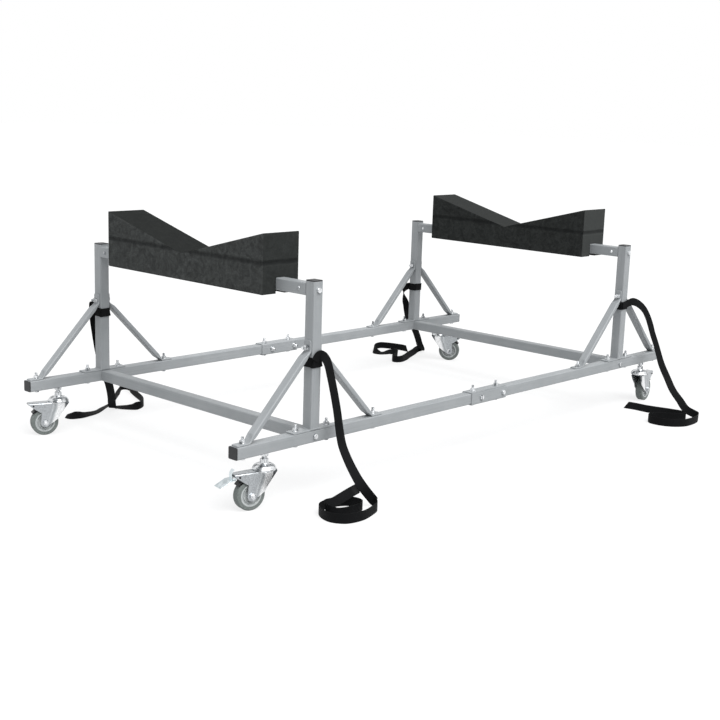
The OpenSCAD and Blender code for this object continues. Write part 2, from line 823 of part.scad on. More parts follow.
far_right_route = [
    [718, 475.2, 307, 90, 90], [708, 475.6, 307, 90, 90], [699, 478.5, 306, 90, 88],
    [691, 483, 300, 90, 66], [688, 485.5, 289, 60, 34], [690, 487, 274, 34, 8], [696, 488, 258, 8, 0],
    [708.4, 490.5, 240.4, -14, 0], [727.4, 499.5, 209.4, -22, 0], [754.2, 514.8, 178.8, -28, 0],
    [800.7, 535.3, 140.9, -30, 0], [851.3, 557.4, 102.1, -30, 0], [879.4, 568.5, 72.2, -30, 0],
    [905.9, 578.2, 37, -38, 0], [928.4, 586.4, 16.3, -46, -10], [938, 594, 12, -55, -30],
    [945, 603, 11, -62, -45], [936, 608, 11.5, -67, -55], [914, 600, 12, -67, -58],
    [869.1, 576.9, 12, -67, -59], [805, 547.3, 12, -67, -59], [750, 520.2, 12, -67, -65],
    [712, 508, 13, -67, -85], [698, 512, 13, -90, -90], [692, 527, 13, -180, -90],
    [702, 543, 13, -180, -90], [730, 556, 13, -180, -90], [768, 576, 13, -180, -85],
    [796, 604, 13, -190, -78], [806, 630, 12, -180, -62], [799, 648, 8, -137, -35],
    [781, 656, 4, -114, -14], [765, 665, 5, -137, -18], [758, 682, 9, -172, -42], [770, 705, 13, -220, -70],
    [800, 730, 13, -235, -88], [834, 748, 13, -270, -90], [858, 749, 13, -270, -90],
    [873, 728, 13, -270, -90], [884, 695, 13, -270, -90], [891, 660, 13, -270, -90],
    [889, 632, 13, -270, -90]];

function unit(v) = v / norm(v);

// Direction of the route at point i
function along(route, i) = unit([for (k = [0 : 2])
    route[min(i + 1, len(route) - 1)][k] - route[max(i - 1, 0)][k]]);

// Direction across the webbing at point i, made square to the route
function across(route, i) =
    let (p = route[i], t = along(route, i),
         w = [cos(p[3]) * cos(p[4]), sin(p[3]) * cos(p[4]), sin(p[4])])
    unit(w - t * (w * t));

// The route's point i, lifted where the webbing's lower edge would touch the floor
function place(route, i) =
    let (p = route[i], w = across(route, i), n = cross(along(route, i), w),
         low = abs(w[2]) * strap_w / 2 + abs(n[2]) * strap_t / 2 + seat_gap)
    [p[0], p[1], max(p[2], low)];

// Section of flat webbing with eased edges: [share of the half width, share of the half thickness]
strap_section = [[1, -0.4], [1, 0.4], [0.95, 1], [-0.95, 1], [-1, 0.4], [-1, -0.4], [-0.95, -1],
                 [0.95, -1]];

function strap_ring(route, i) =
    let (p = place(route, i), w = across(route, i), n = cross(along(route, i), w))
    [for (s = strap_section) p + w * s[0] * strap_w / 2 + n * s[1] * strap_t / 2];

// Least gap between a route's rings, measured on their points and leaving out each ring's next few
function self_gap(route) =
    min([for (i = [0 : len(route) - 1], j = [i + next_rings + 1 : 1 : len(route) - 1],
              a = strap_ring(route, i), b = strap_ring(route, j)) norm(a - b)]);

next_rings = 3;
echo(least_gap_near_left_coil = self_gap(near_left_route));
echo(least_gap_near_right_loop = self_gap(near_right_route));
echo(least_gap_far_left_loop = self_gap(far_left_route));
echo(least_gap_far_right_loop = self_gap(far_right_route));

// Webbing swept along its route as one closed shell
module webbing(route) {
    sides = len(strap_section);
    rings = len(route);
    points = [for (i = [0 : rings - 1]) each strap_ring(route, i)];
    walls = [for (i = [0 : rings - 2], j = [0 : sides - 1])
        let (a = i * sides + j, b = i * sides + (j + 1) % sides)
        for (f = [[a, a + sides, b], [b, a + sides, b + sides]]) f];
    start = [for (j = [1 : sides - 2]) [0, j, j + 1]];
    last = (rings - 1) * sides;
    end = [for (j = [1 : sides - 2]) [last, last + j + 1, last + j]];
    color(black)
        polyhedron(points = points, faces = concat(walls, start, end), convexity = 10);
}

// The modules above count from the middle of the frame. The casters and the pedal reach out past it
// unevenly, so the frame's middle lies this far from the middle of the overall box
pedal_turn = CASTER_TURNS[0][2];
horn_turn = CASTER_TURNS[2][2];
reach_left = stem_x + pedal_out * abs(cos(pedal_turn)) + pedal_w / 2 * abs(sin(pedal_turn));
reach_right = rail_l / 2 + cap_t;
reach_near = rail_y + cup_d / 2;
reach_far = rail_y + horn_l * sin(horn_turn) + fork_w / 2 * abs(cos(horn_turn));
frame_middle = [(reach_left - reach_right) / 2, (reach_near - reach_far) / 2, 0];

module placed() {
    translate(frame_middle)
        children();
}

placed() rail_half(NEAR_LEFT);  // near_rail_left
placed() rail_half(NEAR_RIGHT);  // near_rail_right
placed() rail_half(FAR_LEFT);  // far_rail_left
placed() rail_half(FAR_RIGHT);  // far_rail_right
placed() coupler_angles(-1);  // near_coupler_angles
placed() coupler_angles(1);  // far_coupler_angles
placed() cross_tube(-1);  // left_cross_tube
placed() cross_tube(1);  // right_cross_tube
placed() post(NEAR_LEFT);  // near_left_post
placed() post(NEAR_RIGHT);  // near_right_post
placed() post(FAR_LEFT);  // far_left_post
placed() post(FAR_RIGHT);  // far_right_post
placed() braces(NEAR_LEFT);  // near_left_braces
placed() braces(NEAR_RIGHT);  // near_right_braces
placed() braces(FAR_LEFT);  // far_left_braces
placed() braces(FAR_RIGHT);  // far_right_braces
placed() cradle_bar(-1);  // left_cradle_bar
placed() cradle_bar(1);  // right_cradle_bar
placed() foam_cradle(-1);  // left_foam_cradle
placed() foam_cradle(1);  // right_foam_cradle
placed() rail_end_caps();
placed() post_caps();
placed() brace_foot_bolts();
placed() post_foot_bolts();
placed() brace_top_bolts();
placed() coupler_bolts();
placed() cross_tube_bolts();
placed() cradle_bar_bolts();
placed() caster_stems();
placed() caster_nuts();
placed() bearing_cups();
placed() swivel_balls();
placed() color(zinc) caster_part(0) fork();  // near_left_fork
placed() color(zinc) caster_part(1) fork();  // near_right_fork
placed() color(zinc) caster_part(2) fork();  // far_left_fork
placed() color(zinc) caster_part(3) fork();  // far_right_fork
placed() color(zinc) caster_part(0) axle_bolt();  // near_left_axle_bolt
placed() color(zinc) caster_part(1) axle_bolt();  // near_right_axle_bolt
placed() color(zinc) caster_part(2) axle_bolt();  // far_left_axle_bolt
placed() color(zinc) caster_part(3) axle_bolt();  // far_right_axle_bolt
placed() color("lightgray") caster_part(0) hub();  // near_left_hub
placed() color("lightgray") caster_part(1) hub();  // near_right_hub
placed() color("lightgray") caster_part(2) hub();  // far_left_hub
placed() color("lightgray") caster_part(3) hub();  // far_right_hub
placed() color(rubber) caster_part(0) tyre();  // near_left_tyre
placed() color(rubber) caster_part(1) tyre();  // near_right_tyre
placed() color(rubber) caster_part(2) tyre();  // far_left_tyre
placed() color(rubber) caster_part(3) tyre();  // far_right_tyre
placed() color(black) caster_part(0) brake_shoe();  // near_left_brake_shoe
placed() color(black) caster_part(1) brake_shoe();  // near_right_brake_shoe
placed() color(black) caster_part(2) brake_shoe();  // far_left_brake_shoe
placed() color(black) caster_part(3) brake_shoe();  // far_right_brake_shoe
placed() brake_pedal();  // near_left_brake_pedal
placed() strap_loops();
placed() webbing(near_left_route);  // near_left_strap
placed() webbing(near_right_route);  // near_right_strap
placed() webbing(far_left_route);  // far_left_strap
placed() webbing(far_right_route);  // far_right_strap
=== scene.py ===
import math

import bmesh
import bpy
import numpy as np
from mathutils import Matrix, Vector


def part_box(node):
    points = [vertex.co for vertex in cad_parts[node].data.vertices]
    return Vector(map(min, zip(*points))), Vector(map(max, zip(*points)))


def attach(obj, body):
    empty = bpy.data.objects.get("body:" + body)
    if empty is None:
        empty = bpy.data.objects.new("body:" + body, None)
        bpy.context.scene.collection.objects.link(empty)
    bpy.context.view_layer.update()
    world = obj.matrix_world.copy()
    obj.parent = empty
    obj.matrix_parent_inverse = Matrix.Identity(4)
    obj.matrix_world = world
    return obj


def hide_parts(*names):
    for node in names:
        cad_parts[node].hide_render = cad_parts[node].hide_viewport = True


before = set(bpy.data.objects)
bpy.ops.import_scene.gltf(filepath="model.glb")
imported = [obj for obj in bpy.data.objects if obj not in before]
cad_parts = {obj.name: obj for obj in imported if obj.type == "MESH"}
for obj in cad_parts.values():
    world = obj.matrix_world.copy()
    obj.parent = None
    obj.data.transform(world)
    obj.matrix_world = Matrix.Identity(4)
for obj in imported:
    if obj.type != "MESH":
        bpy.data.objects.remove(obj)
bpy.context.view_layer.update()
scene = bpy.context.scene

# The stand's own middle
# The origin lies under the middle of the overall box, which the casters and the pedal shift. All
# places below count from the middle of the frame, halfway between the outer corners of its rails.
outer_low, outer_high = np.array(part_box("near_rail_left")[0]), np.array(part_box("far_rail_right")[1])
middle = (outer_low + outer_high) / 2 * (1, 1, 0)

# Camera
# The photograph was taken from the near left, a metre up, with a long lens and no shift. The eye,
# the three turns and the focal length come from a fit to the frame's edges.
eye = middle + (-2.888, -2.6598, 1.003)
yaw, pitch, roll = math.radians(46.7525), math.radians(-11.7797), math.radians(1.8824)
ahead = np.array([math.sin(yaw) * math.cos(pitch), math.cos(yaw) * math.cos(pitch), math.sin(pitch)])
level = np.array([math.cos(yaw), -math.sin(yaw), 0.0])
upright = np.cross(level, ahead)
across = math.cos(roll) * level + math.sin(roll) * upright
overhead = math.cos(roll) * upright - math.sin(roll) * level
camera_data = bpy.data.cameras.new("camera")
camera_data.sensor_width = 36.0
camera_data.lens = 62.345
camera = bpy.data.objects.new("camera", camera_data)
camera_axes = [[across[k], overhead[k], -ahead[k], eye[k]] for k in range(3)]
camera.matrix_world = Matrix(camera_axes + [[0, 0, 0, 1]])
scene.collection.objects.link(camera)
scene.camera = camera

# Loose straps
# Flat black polypropylene webbing, 25.4 mm wide and nearly 2 mm thick, woven with a fine rib across
# it. Each strap hangs from the band round its post and lies on the floor, mostly on its edge.
strap_width, strap_thick, floor_gap, cut_rings = 0.0254, 0.0019, 0.0003, 5

# A route's rows: x, y and z in metres, then the width's turn about z and its rise, in degrees.
near_left_route = [
    (-0.729, -0.475, 0.356, 0, 122), (-0.723, -0.475, 0.365, 0, 116), (-0.715, -0.476, 0.37, 0, 95),
    (-0.706, -0.479, 0.367, 0, 62), (-0.699, -0.484, 0.357, -2, 35), (-0.695, -0.489, 0.341, -4, 16),
    (-0.691, -0.492, 0.32, -5, 6), (-0.687, -0.496, 0.295, -5, 0), (-0.681, -0.501, 0.258, -6, 0),
    (-0.678, -0.5081, 0.22, -7, 0), (-0.6785, -0.5179, 0.1772, -9, 0), (-0.6809, -0.5314, 0.1409, -14, 0),
    (-0.6848, -0.5535, 0.1122, -20, 0), (-0.6886, -0.5801, 0.0848, -30, 0), (-0.6885, -0.605, 0.0591, -40, 5),
    (-0.6828, -0.6212, 0.0401, -45, 20), (-0.6741, -0.6321, 0.0238, -45, 50),
    (-0.668, -0.637, 0.014, -45, 80), (-0.682, -0.66, 0.013, 0, 90),
    (-0.722, -0.68, 0.013, 0, 90), (-0.776, -0.691, 0.013, 0, 90),
    (-0.817, -0.68, 0.013, 0, 90), (-0.836, -0.648, 0.013, 0, 90), (-0.83, -0.612, 0.013, 0, 90),
    (-0.802, -0.577, 0.013, 0, 90), (-0.766, -0.571, 0.013, 0, 90), (-0.735, -0.576, 0.013, 0, 90),
    (-0.713, -0.591, 0.013, 0, 90), (-0.703, -0.612, 0.013, 0, 90), (-0.707, -0.632, 0.013, 0, 90),
    (-0.724, -0.643, 0.013, 0, 90), (-0.752, -0.646, 0.013, 0, 90), (-0.782, -0.643, 0.013, 0, 90),
    (-0.804, -0.635, 0.015, 10, 88), (-0.815, -0.62, 0.021, 60, 80), (-0.811, -0.607, 0.028, 95, 68),
    (-0.7854, -0.61, 0.0308, 105, 60), (-0.7676, -0.6114, 0.0356, 105, 56), (-0.747, -0.61, 0.0396, 105, 55),
    (-0.727, -0.6079, 0.0427, 105, 55), (-0.7066, -0.6004, 0.0418, 105, 57),
    (-0.684, -0.5893, 0.0386, 100, 62), (-0.6696, -0.5843, 0.038, 95, 66)]
near_right_route = [
    (0.706, -0.475, 0.358, 0, 98), (0.722, -0.475, 0.361, 0, 100), (0.738, -0.477, 0.366, 0, 98),
    (0.754, -0.48, 0.369, 0, 84), (0.772, -0.484, 0.365, 0, 66), (0.792, -0.488, 0.355, 0, 50),
    (0.8182, -0.494, 0.3328, -5, 35), (0.8277, -0.502, 0.3099, -10, 20), (0.8347, -0.509, 0.285, -15, 8),
    (0.8399, -0.517, 0.2561, -15, 0), (0.8492, -0.528, 0.2193, -15, 0), (0.8526, -0.539, 0.1872, -20, 0),
    (0.8524, -0.552, 0.1563, -28, 0), (0.8536, -0.579, 0.1098, -38, 0), (0.8375, -0.612, 0.076, -45, 5),
    (0.8207, -0.65, 0.051, -45, 20), (0.7988, -0.692, 0.0285, -45, 45), (0.814, -0.722, 0.013, -45, 80),
    (0.782, -0.741, 0.013, 0, 90), (0.738, -0.748, 0.013, 0, 90), (0.69, -0.743, 0.013, 0, 90),
    (0.654, -0.714, 0.013, 0, 90), (0.64, -0.678, 0.013, 0, 90), (0.644, -0.644, 0.013, 0, 90),
    (0.668, -0.627, 0.013, 0, 90), (0.7, -0.64, 0.013, 0, 90), (0.726, -0.668, 0.013, 0, 90),
    (0.752, -0.694, 0.013, 0, 90), (0.778, -0.7, 0.013, 0, 90), (0.788, -0.682, 0.013, 0, 90),
    (0.783, -0.645, 0.013, 0, 85), (0.773, -0.602, 0.012, -5, 70), (0.768, -0.556, 0.011, -5, 60),
    (0.768, -0.514, 0.011, -5, 57), (0.762, -0.483, 0.011, -5, 57)]
far_left_route = [
    (-0.732, 0.4753, 0.3795, 0, 0), (-0.732, 0.481, 0.381, 0, 0), (-0.7316, 0.486, 0.3775, 0, 0),
    (-0.7301, 0.4901, 0.3651, 0, 0), (-0.7288, 0.4917, 0.3463, 0, 0), (-0.7264, 0.4921, 0.3232, 0, 0),
    (-0.7224, 0.4921, 0.2961, 0, 0), (-0.7175, 0.4928, 0.2706, -2, 0), (-0.7068, 0.496, 0.2283, -8, 0),
    (-0.6896, 0.5025, 0.1809, -18, 0), (-0.6704, 0.5114, 0.1419, -30, 0), (-0.6497, 0.5244, 0.1056, -40, 0),
    (-0.6321, 0.5406, 0.0761, -43, 0), (-0.6122, 0.5633, 0.0447, -43, 0), (-0.5973, 0.5825, 0.0206, -43, 0),
    (-0.59, 0.588, 0.006, -60, 0), (-0.577, 0.587, 0.006, -105, -5), (-0.564, 0.576, 0.006, -145, -14),
    (-0.552, 0.558, 0.008, -145, -25), (-0.538, 0.542, 0.011, -150, -45), (-0.518, 0.54, 0.013, -180, -70),
    (-0.494, 0.556, 0.013, -200, -88), (-0.472, 0.588, 0.013, -210, -90), (-0.453, 0.63, 0.013, -233, -90),
    (-0.43, 0.69, 0.013, -233, -90), (-0.408, 0.742, 0.013, -233, -90), (-0.393, 0.772, 0.013, -233, -90),
    (-0.393, 0.786, 0.013, -233, -90), (-0.402, 0.794, 0.013, -233, -90), (-0.413, 0.789, 0.013, -233, -90),
    (-0.427, 0.774, 0.013, -233, -90), (-0.45, 0.747, 0.013, -233, -90), (-0.48, 0.717, 0.013, -233, -90),
    (-0.508, 0.688, 0.013, -233, -90), (-0.538, 0.656, 0.013, -233, -75), (-0.564, 0.64, 0.009, -233, -42),
    (-0.588, 0.626, 0.003, -233, -14), (-0.611, 0.613, 0.0025, -233, -10), (-0.634, 0.598, 0.003, -238, -6),
    (-0.657, 0.584, 0.004, -245, 4), (-0.682, 0.572, 0.006, -252, 14), (-0.708, 0.565, 0.008, -256, 24),
    (-0.732, 0.56, 0.011, -256, 45), (-0.748, 0.562, 0.012, -280, 50), (-0.757, 0.574, 0.009, -310, 35),
    (-0.762, 0.594, 0.005, -335, 12)]
far_right_route = [
    (0.718, 0.4752, 0.307, 90, 90), (0.708, 0.4756, 0.307, 90, 90), (0.699, 0.4785, 0.306, 90, 88),
    (0.691, 0.483, 0.3, 90, 66), (0.688, 0.4855, 0.289, 60, 34), (0.69, 0.487, 0.274, 34, 8),
    (0.696, 0.488, 0.258, 8, 0), (0.7084, 0.4905, 0.2404, -14, 0), (0.7274, 0.4995, 0.2094, -22, 0),
    (0.7542, 0.5148, 0.1788, -28, 0), (0.8007, 0.5353, 0.1409, -30, 0), (0.8513, 0.5574, 0.1021, -30, 0),
    (0.8794, 0.5685, 0.0722, -30, 0), (0.9059, 0.5782, 0.037, -38, 0), (0.9284, 0.5864, 0.0163, -46, -10),
    (0.938, 0.594, 0.012, -55, -30), (0.945, 0.603, 0.011, -62, -45), (0.936, 0.608, 0.0115, -67, -55),
    (0.914, 0.6, 0.012, -67, -58), (0.8691, 0.5769, 0.012, -67, -59), (0.805, 0.5473, 0.012, -67, -59),
    (0.75, 0.5202, 0.012, -67, -65), (0.712, 0.508, 0.013, -67, -85), (0.698, 0.512, 0.013, -90, -90),
    (0.692, 0.527, 0.013, -180, -90), (0.702, 0.543, 0.013, -180, -90), (0.73, 0.556, 0.013, -180, -90),
    (0.768, 0.576, 0.013, -180, -85), (0.796, 0.604, 0.013, -190, -78), (0.806, 0.63, 0.012, -180, -62),
    (0.799, 0.648, 0.008, -137, -35), (0.781, 0.656, 0.004, -114, -14), (0.765, 0.665, 0.005, -137, -18),
    (0.758, 0.682, 0.009, -172, -42), (0.77, 0.705, 0.013, -220, -70), (0.8, 0.73, 0.013, -235, -88),
    (0.834, 0.748, 0.013, -270, -90), (0.858, 0.749, 0.013, -270, -90), (0.873, 0.728, 0.013, -270, -90),
    (0.884, 0.695, 0.013, -270, -90), (0.891, 0.66, 0.013, -270, -90), (0.889, 0.632, 0.013, -270, -90)]


def linear(colour):
    """An sRGB hex colour as the linear RGBA that a shader takes."""
    parts = np.array([int(colour[k:k + 2], 16) for k in (1, 3, 5)]) / 255
    parts = np.where(parts <= 0.04045, parts / 12.92, ((parts + 0.055) / 1.055) ** 2.4)
    return (*parts.tolist(), 1.0)


def add(tree, kind, inputs=(), stops=(), **settings):
    """Adds a shader node with its settings, its inputs as (socket, value) pairs and a colour ramp's
    stops as (position, hex) pairs. A value that is a socket is linked, and of a node the first
    output in use."""
    made = tree.nodes.new("ShaderNode" + kind)
    for name, value in settings.items():
        setattr(made, name, value)
    for name, value in inputs:
        if isinstance(value, bpy.types.Node):
            value = next(output for output in value.outputs if output.enabled)
        if isinstance(value, bpy.types.NodeSocket):
            tree.links.new(value, made.inputs[name])
        else:
            made.inputs[name].default_value = value
    for index, (position, colour) in enumerate(stops):
        elements = made.color_ramp.elements
        element = elements[index] if index < 2 else elements.new(position)
        element.position, element.color = position, linear(colour)
    return made


def start_material(name):
    """A material with an empty node tree, and that tree."""
    material = bpy.data.materials.new(name)
    material.use_nodes = True
    material.node_tree.nodes.clear()
    return material, material.node_tree


def finish_material(material, inputs):
    """Closes a material with one Principled shader, which takes inputs as add does."""
    shader = add(material.node_tree, "BsdfPrincipled", inputs)
    add(material.node_tree, "OutputMaterial", [("Surface", shader)])
    return material


def smooth_route(route, spacing):
    """Cubic curve through the route's rows: each stretch is a Hermite curve over its chord, and a
    row's slope is the mean of its two chords' slopes, weighted by the other chord's length."""
    rows = np.array(route, float)
    chord = np.linalg.norm(np.diff(rows[:, :3], axis=0), axis=1)
    at = np.concatenate([[0], np.cumsum(chord)])
    slope = np.diff(rows, axis=0) / chord[:, None]
    inner = (slope[:-1] * chord[1:, None] + slope[1:] * chord[:-1, None]) / (chord[1:] + chord[:-1])[:, None]
    slopes = np.vstack([slope[:1], inner, slope[-1:]])
    s = np.linspace(0, at[-1], int(at[-1] / spacing) + 1)
    k = np.clip(np.searchsorted(at, s, side="right") - 1, 0, len(chord) - 1)
    h = chord[k][:, None]
    t = ((s - at[k]) / chord[k])[:, None]
    return ((2 * t ** 3 - 3 * t ** 2 + 1) * rows[k] + (t ** 3 - 2 * t ** 2 + t) * h * slopes[k]
            + (3 * t ** 2 - 2 * t ** 3) * rows[k + 1] + (t ** 3 - t ** 2) * h * slopes[k + 1])


def rounded_loop(width, height, radius, steps=4):
    """Rectangle about the origin with its corners as quarter circles, anticlockwise, as (n, 2)."""
    turn = np.linspace(0, math.pi / 2, steps)[None, :] + (np.arange(4) * math.pi / 2)[:, None]
    signs = np.array([[1, 1], [-1, 1], [-1, -1], [1, -1]])
    centres = signs * (np.array([width, height]) / 2 - radius)
    loop = centres[:, None, :] + radius * np.stack([np.cos(turn), np.sin(turn)], axis=2)
    return loop.reshape(-1, 2)


def unit(vectors):
    """Each vector of the last axis divided by its own length."""
    return vectors / np.linalg.norm(vectors, axis=-1, keepdims=True)


def grid_faces(rows, columns, close_rows=False):
    """Quads between neighbouring points of a grid of closed rows, numbered row by row."""
    i = np.arange(rows if close_rows else rows - 1)
    i, j = (part.ravel() for part in np.meshgrid(i, np.arange(columns), indexing="ij"))
    next_i, next_j = (i + 1) % rows, (j + 1) % columns
    corners_of_quad = [i * columns + j, i * columns + next_j, next_i * columns + next_j, next_i * columns + j]
    return np.stack(corners_of_quad, axis=1).tolist()


def solid(grid, close_rows=False):
    """A grid (rows, columns, 3) whose rows are closed loops, as a closed skin: its points, faces and
    for each point its distance round the row and along the rows. Open ends get flat caps."""
    rows, columns = grid.shape[:2]
    faces = grid_faces(rows, columns, close_rows)
    if not close_rows:
        faces.append(list(range(columns))[::-1])
        faces.append(list(range((rows - 1) * columns, rows * columns)))
    round_it, along_it = np.zeros((rows, columns)), np.zeros((rows, columns))
    round_it[:, 1:] = np.cumsum(np.linalg.norm(np.diff(grid, axis=1), axis=2), axis=1)
    run = np.cumsum(np.linalg.norm(np.diff(grid, axis=0), axis=2), axis=0)
    along_it[1:] = run.mean(axis=1, keepdims=True)
    return grid.reshape(-1, 3), faces, np.stack([round_it, along_it], axis=2).reshape(-1, 2)


def piece(name, solids, material, body, nodes, crease=35):
    """Makes one mesh object from closed skins, turns its faces outward, lets the large flat faces
    lead the shading, and ties it to its body and its CAD nodes."""
    points = np.vstack([points for points, _, _ in solids]) + middle
    lengths = np.vstack([lengths for _, _, lengths in solids])
    faces, first = [], 0
    for skin, skin_faces, _ in solids:
        faces += [[index + first for index in face] for face in skin_faces]
        first += len(skin)
    mesh = bpy.data.meshes.new(name)
    mesh.from_pydata(points.tolist(), [], faces)
    turned_out = bmesh.new()
    turned_out.from_mesh(mesh)
    bmesh.ops.recalc_face_normals(turned_out, faces=turned_out.faces)
    turned_out.to_mesh(mesh)
    turned_out.free()
    corner = np.empty(len(mesh.loops), dtype=np.int32)
    mesh.loops.foreach_get("vertex_index", corner)
    lengths_map = mesh.uv_layers.new(name="lengths")
    lengths_map.uv.foreach_set("vector", lengths[corner].astype(np.float32).ravel())
    mesh.materials.append(material)
    mesh.shade_smooth()
    mesh.set_sharp_from_angle(angle=math.radians(crease))
    made = bpy.data.objects.new(name, mesh)
    scene.collection.objects.link(made)
    made.modifiers.new("flat_faces_lead", "WEIGHTED_NORMAL").keep_sharp = True
    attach(made, body)
    if nodes:
        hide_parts(*nodes)
    return made


def webbing_material():
    """Woven polypropylene, which has a weak sheen. Its cross ribs are 1.6 mm apart and its cords
    2.1 mm, coarser than real ones, so that they show. A wave's period is 0.314 over its scale."""
    material, tree = start_material("black_woven_webbing")
    coordinates = add(tree, "TexCoord").outputs
    ribs = add(tree, "TexWave", [("Vector", coordinates["UV"]), ("Scale", 0.314 / 0.0016),
                                 ("Distortion", 0.4)], wave_type="BANDS", bands_direction="Y").outputs["Fac"]
    cords = add(tree, "TexWave", [("Vector", coordinates["UV"]), ("Scale", 0.314 / 0.0021),
                                  ("Distortion", 0.3)], wave_type="BANDS", bands_direction="X").outputs["Fac"]
    weave = add(tree, "Math", [(0, ribs), (1, cords)], operation="MULTIPLY")
    worn = add(tree, "TexNoise", [("Vector", coordinates["Object"]), ("Scale", 1000 / 18), ("Detail", 3.0)])
    uneven = add(tree, "Math", [(0, weave), (1, worn)], operation="MULTIPLY")
    tone = add(tree, "ValToRGB", [("Fac", uneven)], [(0.05, "#040506"), (0.8, "#121316")])
    bump = add(tree, "Bump", [("Height", weave), ("Strength", 0.5), ("Distance", 0.0004)])
    return finish_material(material, [("Base Color", tone), ("Roughness", 0.7), ("IOR", 1.49),
                                      ("Specular IOR Level", 0.12), ("Normal", bump)])


webbing = webbing_material()
webbing_section = rounded_loop(strap_width, strap_thick, strap_thick * 0.45)


def sweep_webbing(centre, width_way, closed=False):
    """Carries the webbing's rounded section along centre. Its width lies along width_way made
    square to the path, and its thickness along the cross product of the two."""
    if closed:
        forward = unit(np.roll(centre, -1, axis=0) - np.roll(centre, 1, axis=0))
    else:
        forward = unit(np.gradient(centre, axis=0))
    wide = unit(width_way - forward * np.sum(width_way * forward, axis=1, keepdims=True))
    thin = np.cross(forward, wide)
    across_it, through_it = webbing_section[None, :, :1], webbing_section[None, :, 1:]
    return centre[:, None, :] + across_it * wide[:, None, :] + through_it * thin[:, None, :]


def lift_off_floor(centre, width_way):
    """Raises the strap's middle where its lower edge would touch the floor."""
    forward = unit(np.gradient(centre, axis=0))
    wide = unit(width_way - forward * np.sum(width_way * forward, axis=1, keepdims=True))
    thin = np.cross(forward, wide)
    low = np.abs(wide[:, 2]) * strap_width / 2 + np.abs(thin[:, 2]) * strap_thick / 2 + floor_gap
    return np.column_stack([centre[:, :2], np.maximum(centre[:, 2], low)])


# A strap's name, its route, how it lies, and the slant of its cut end as a share of the width.
loose_straps = (("near_left", near_left_route, "coiled", 0.5),
                ("near_right", near_right_route, "loose", -0.5),
                ("far_left", far_left_route, "loose", 0.5),
                ("far_right", far_right_route, "loose", 0.5))
for name, route, lay_kind, slant in loose_straps:
    rows = smooth_route(route, 0.004)
    turn, lean = np.radians(rows[:, 3]), np.radians(rows[:, 4])
    width_way = np.stack([np.cos(turn) * np.cos(lean), np.sin(turn) * np.cos(lean), np.sin(lean)], axis=1)
    centre = lift_off_floor(rows[:, :3], width_way)
    grid = sweep_webbing(centre, width_way)
    # The free end is cut at a slant: its last rings are pushed along the strap in step with the
    # distance from the strap's middle.
    last = np.clip(1 - (len(grid) - 1 - np.arange(len(grid))) / cut_rings, 0, 1)
    push = last[:, None] * slant * webbing_section[None, :, 0]
    grid += push[:, :, None] * unit(np.gradient(centre, axis=0))[:, None, :]
    strap = piece(name + "_loose_strap", [solid(grid)], webbing, "stand", [name + "_strap"], 50)

# Rails
# Four lengths of 31.75 mm square steel tube with drawn corners and 1.6 mm walls, powder coated in
# pale grey. Two lengths butt in the middle of each long side and carry everything else.
tube, wall, tube_corner, rim = 0.03175, 0.0016, 0.0034, 0.0004
half = tube / 2
post_x, rail_y = 0.72, 0.455625
rail_low, rail_mid, rail_top, rail_end = 0.142, 0.157875, 0.17375, 0.98
corners = {"near_left": (-1, -1), "near_right": (1, -1), "far_left": (-1, 1), "far_right": (1, 1)}
X, Y, Z = np.eye(3)


def inset(outline, distance):
    """Moves each point of a closed anticlockwise outline inwards, by distance from both its sides."""
    side = unit(np.roll(outline, -1, axis=0) - outline)
    inward = np.stack([-side[:, 1], side[:, 0]], axis=1)
    halfway = unit(inward + np.roll(inward, 1, axis=0))
    return outline + halfway * distance / np.maximum(np.sum(halfway * inward, axis=1, keepdims=True), 0.4)


def rows_of(loops, levels):
    """Flat outlines at their levels, as a grid of (u, v, w) points."""
    return np.stack([np.column_stack([loop, np.full(len(loop), level)])
                     for loop, level in zip(loops, levels)])


def plate(outline, low, high, bevel):
    """A flat plate between two levels whose edges are rounded by a quarter circle of radius bevel."""
    turn = np.linspace(0, math.pi / 2, 4)
    shrink, rise = bevel * (1 - np.sin(turn)), bevel * (1 - np.cos(turn))
    loops = [inset(outline, s) for s in shrink]
    return rows_of(loops + loops[::-1], np.concatenate([low + rise, high - rise[::-1]]))


def lay(grid, origin, ways):
    """Puts a grid of (u, v, w) points into the stand's frame, along three ways from origin."""
    return np.asarray(origin) + grid @ np.array(ways)


def tube_shell(start, end):
    """Open square tube along w, its walls joined at both ends by a slightly eased rim."""
    outside = rounded_loop(tube, tube, tube_corner, 7)
    inside = rounded_loop(tube - 2 * wall, tube - 2 * wall, tube_corner - wall, 7)
    eased = inset(outside, rim)
    return rows_of([eased, outside, outside, eased, inside, inside],
                   [start, start + rim, end - rim, end, end, start])


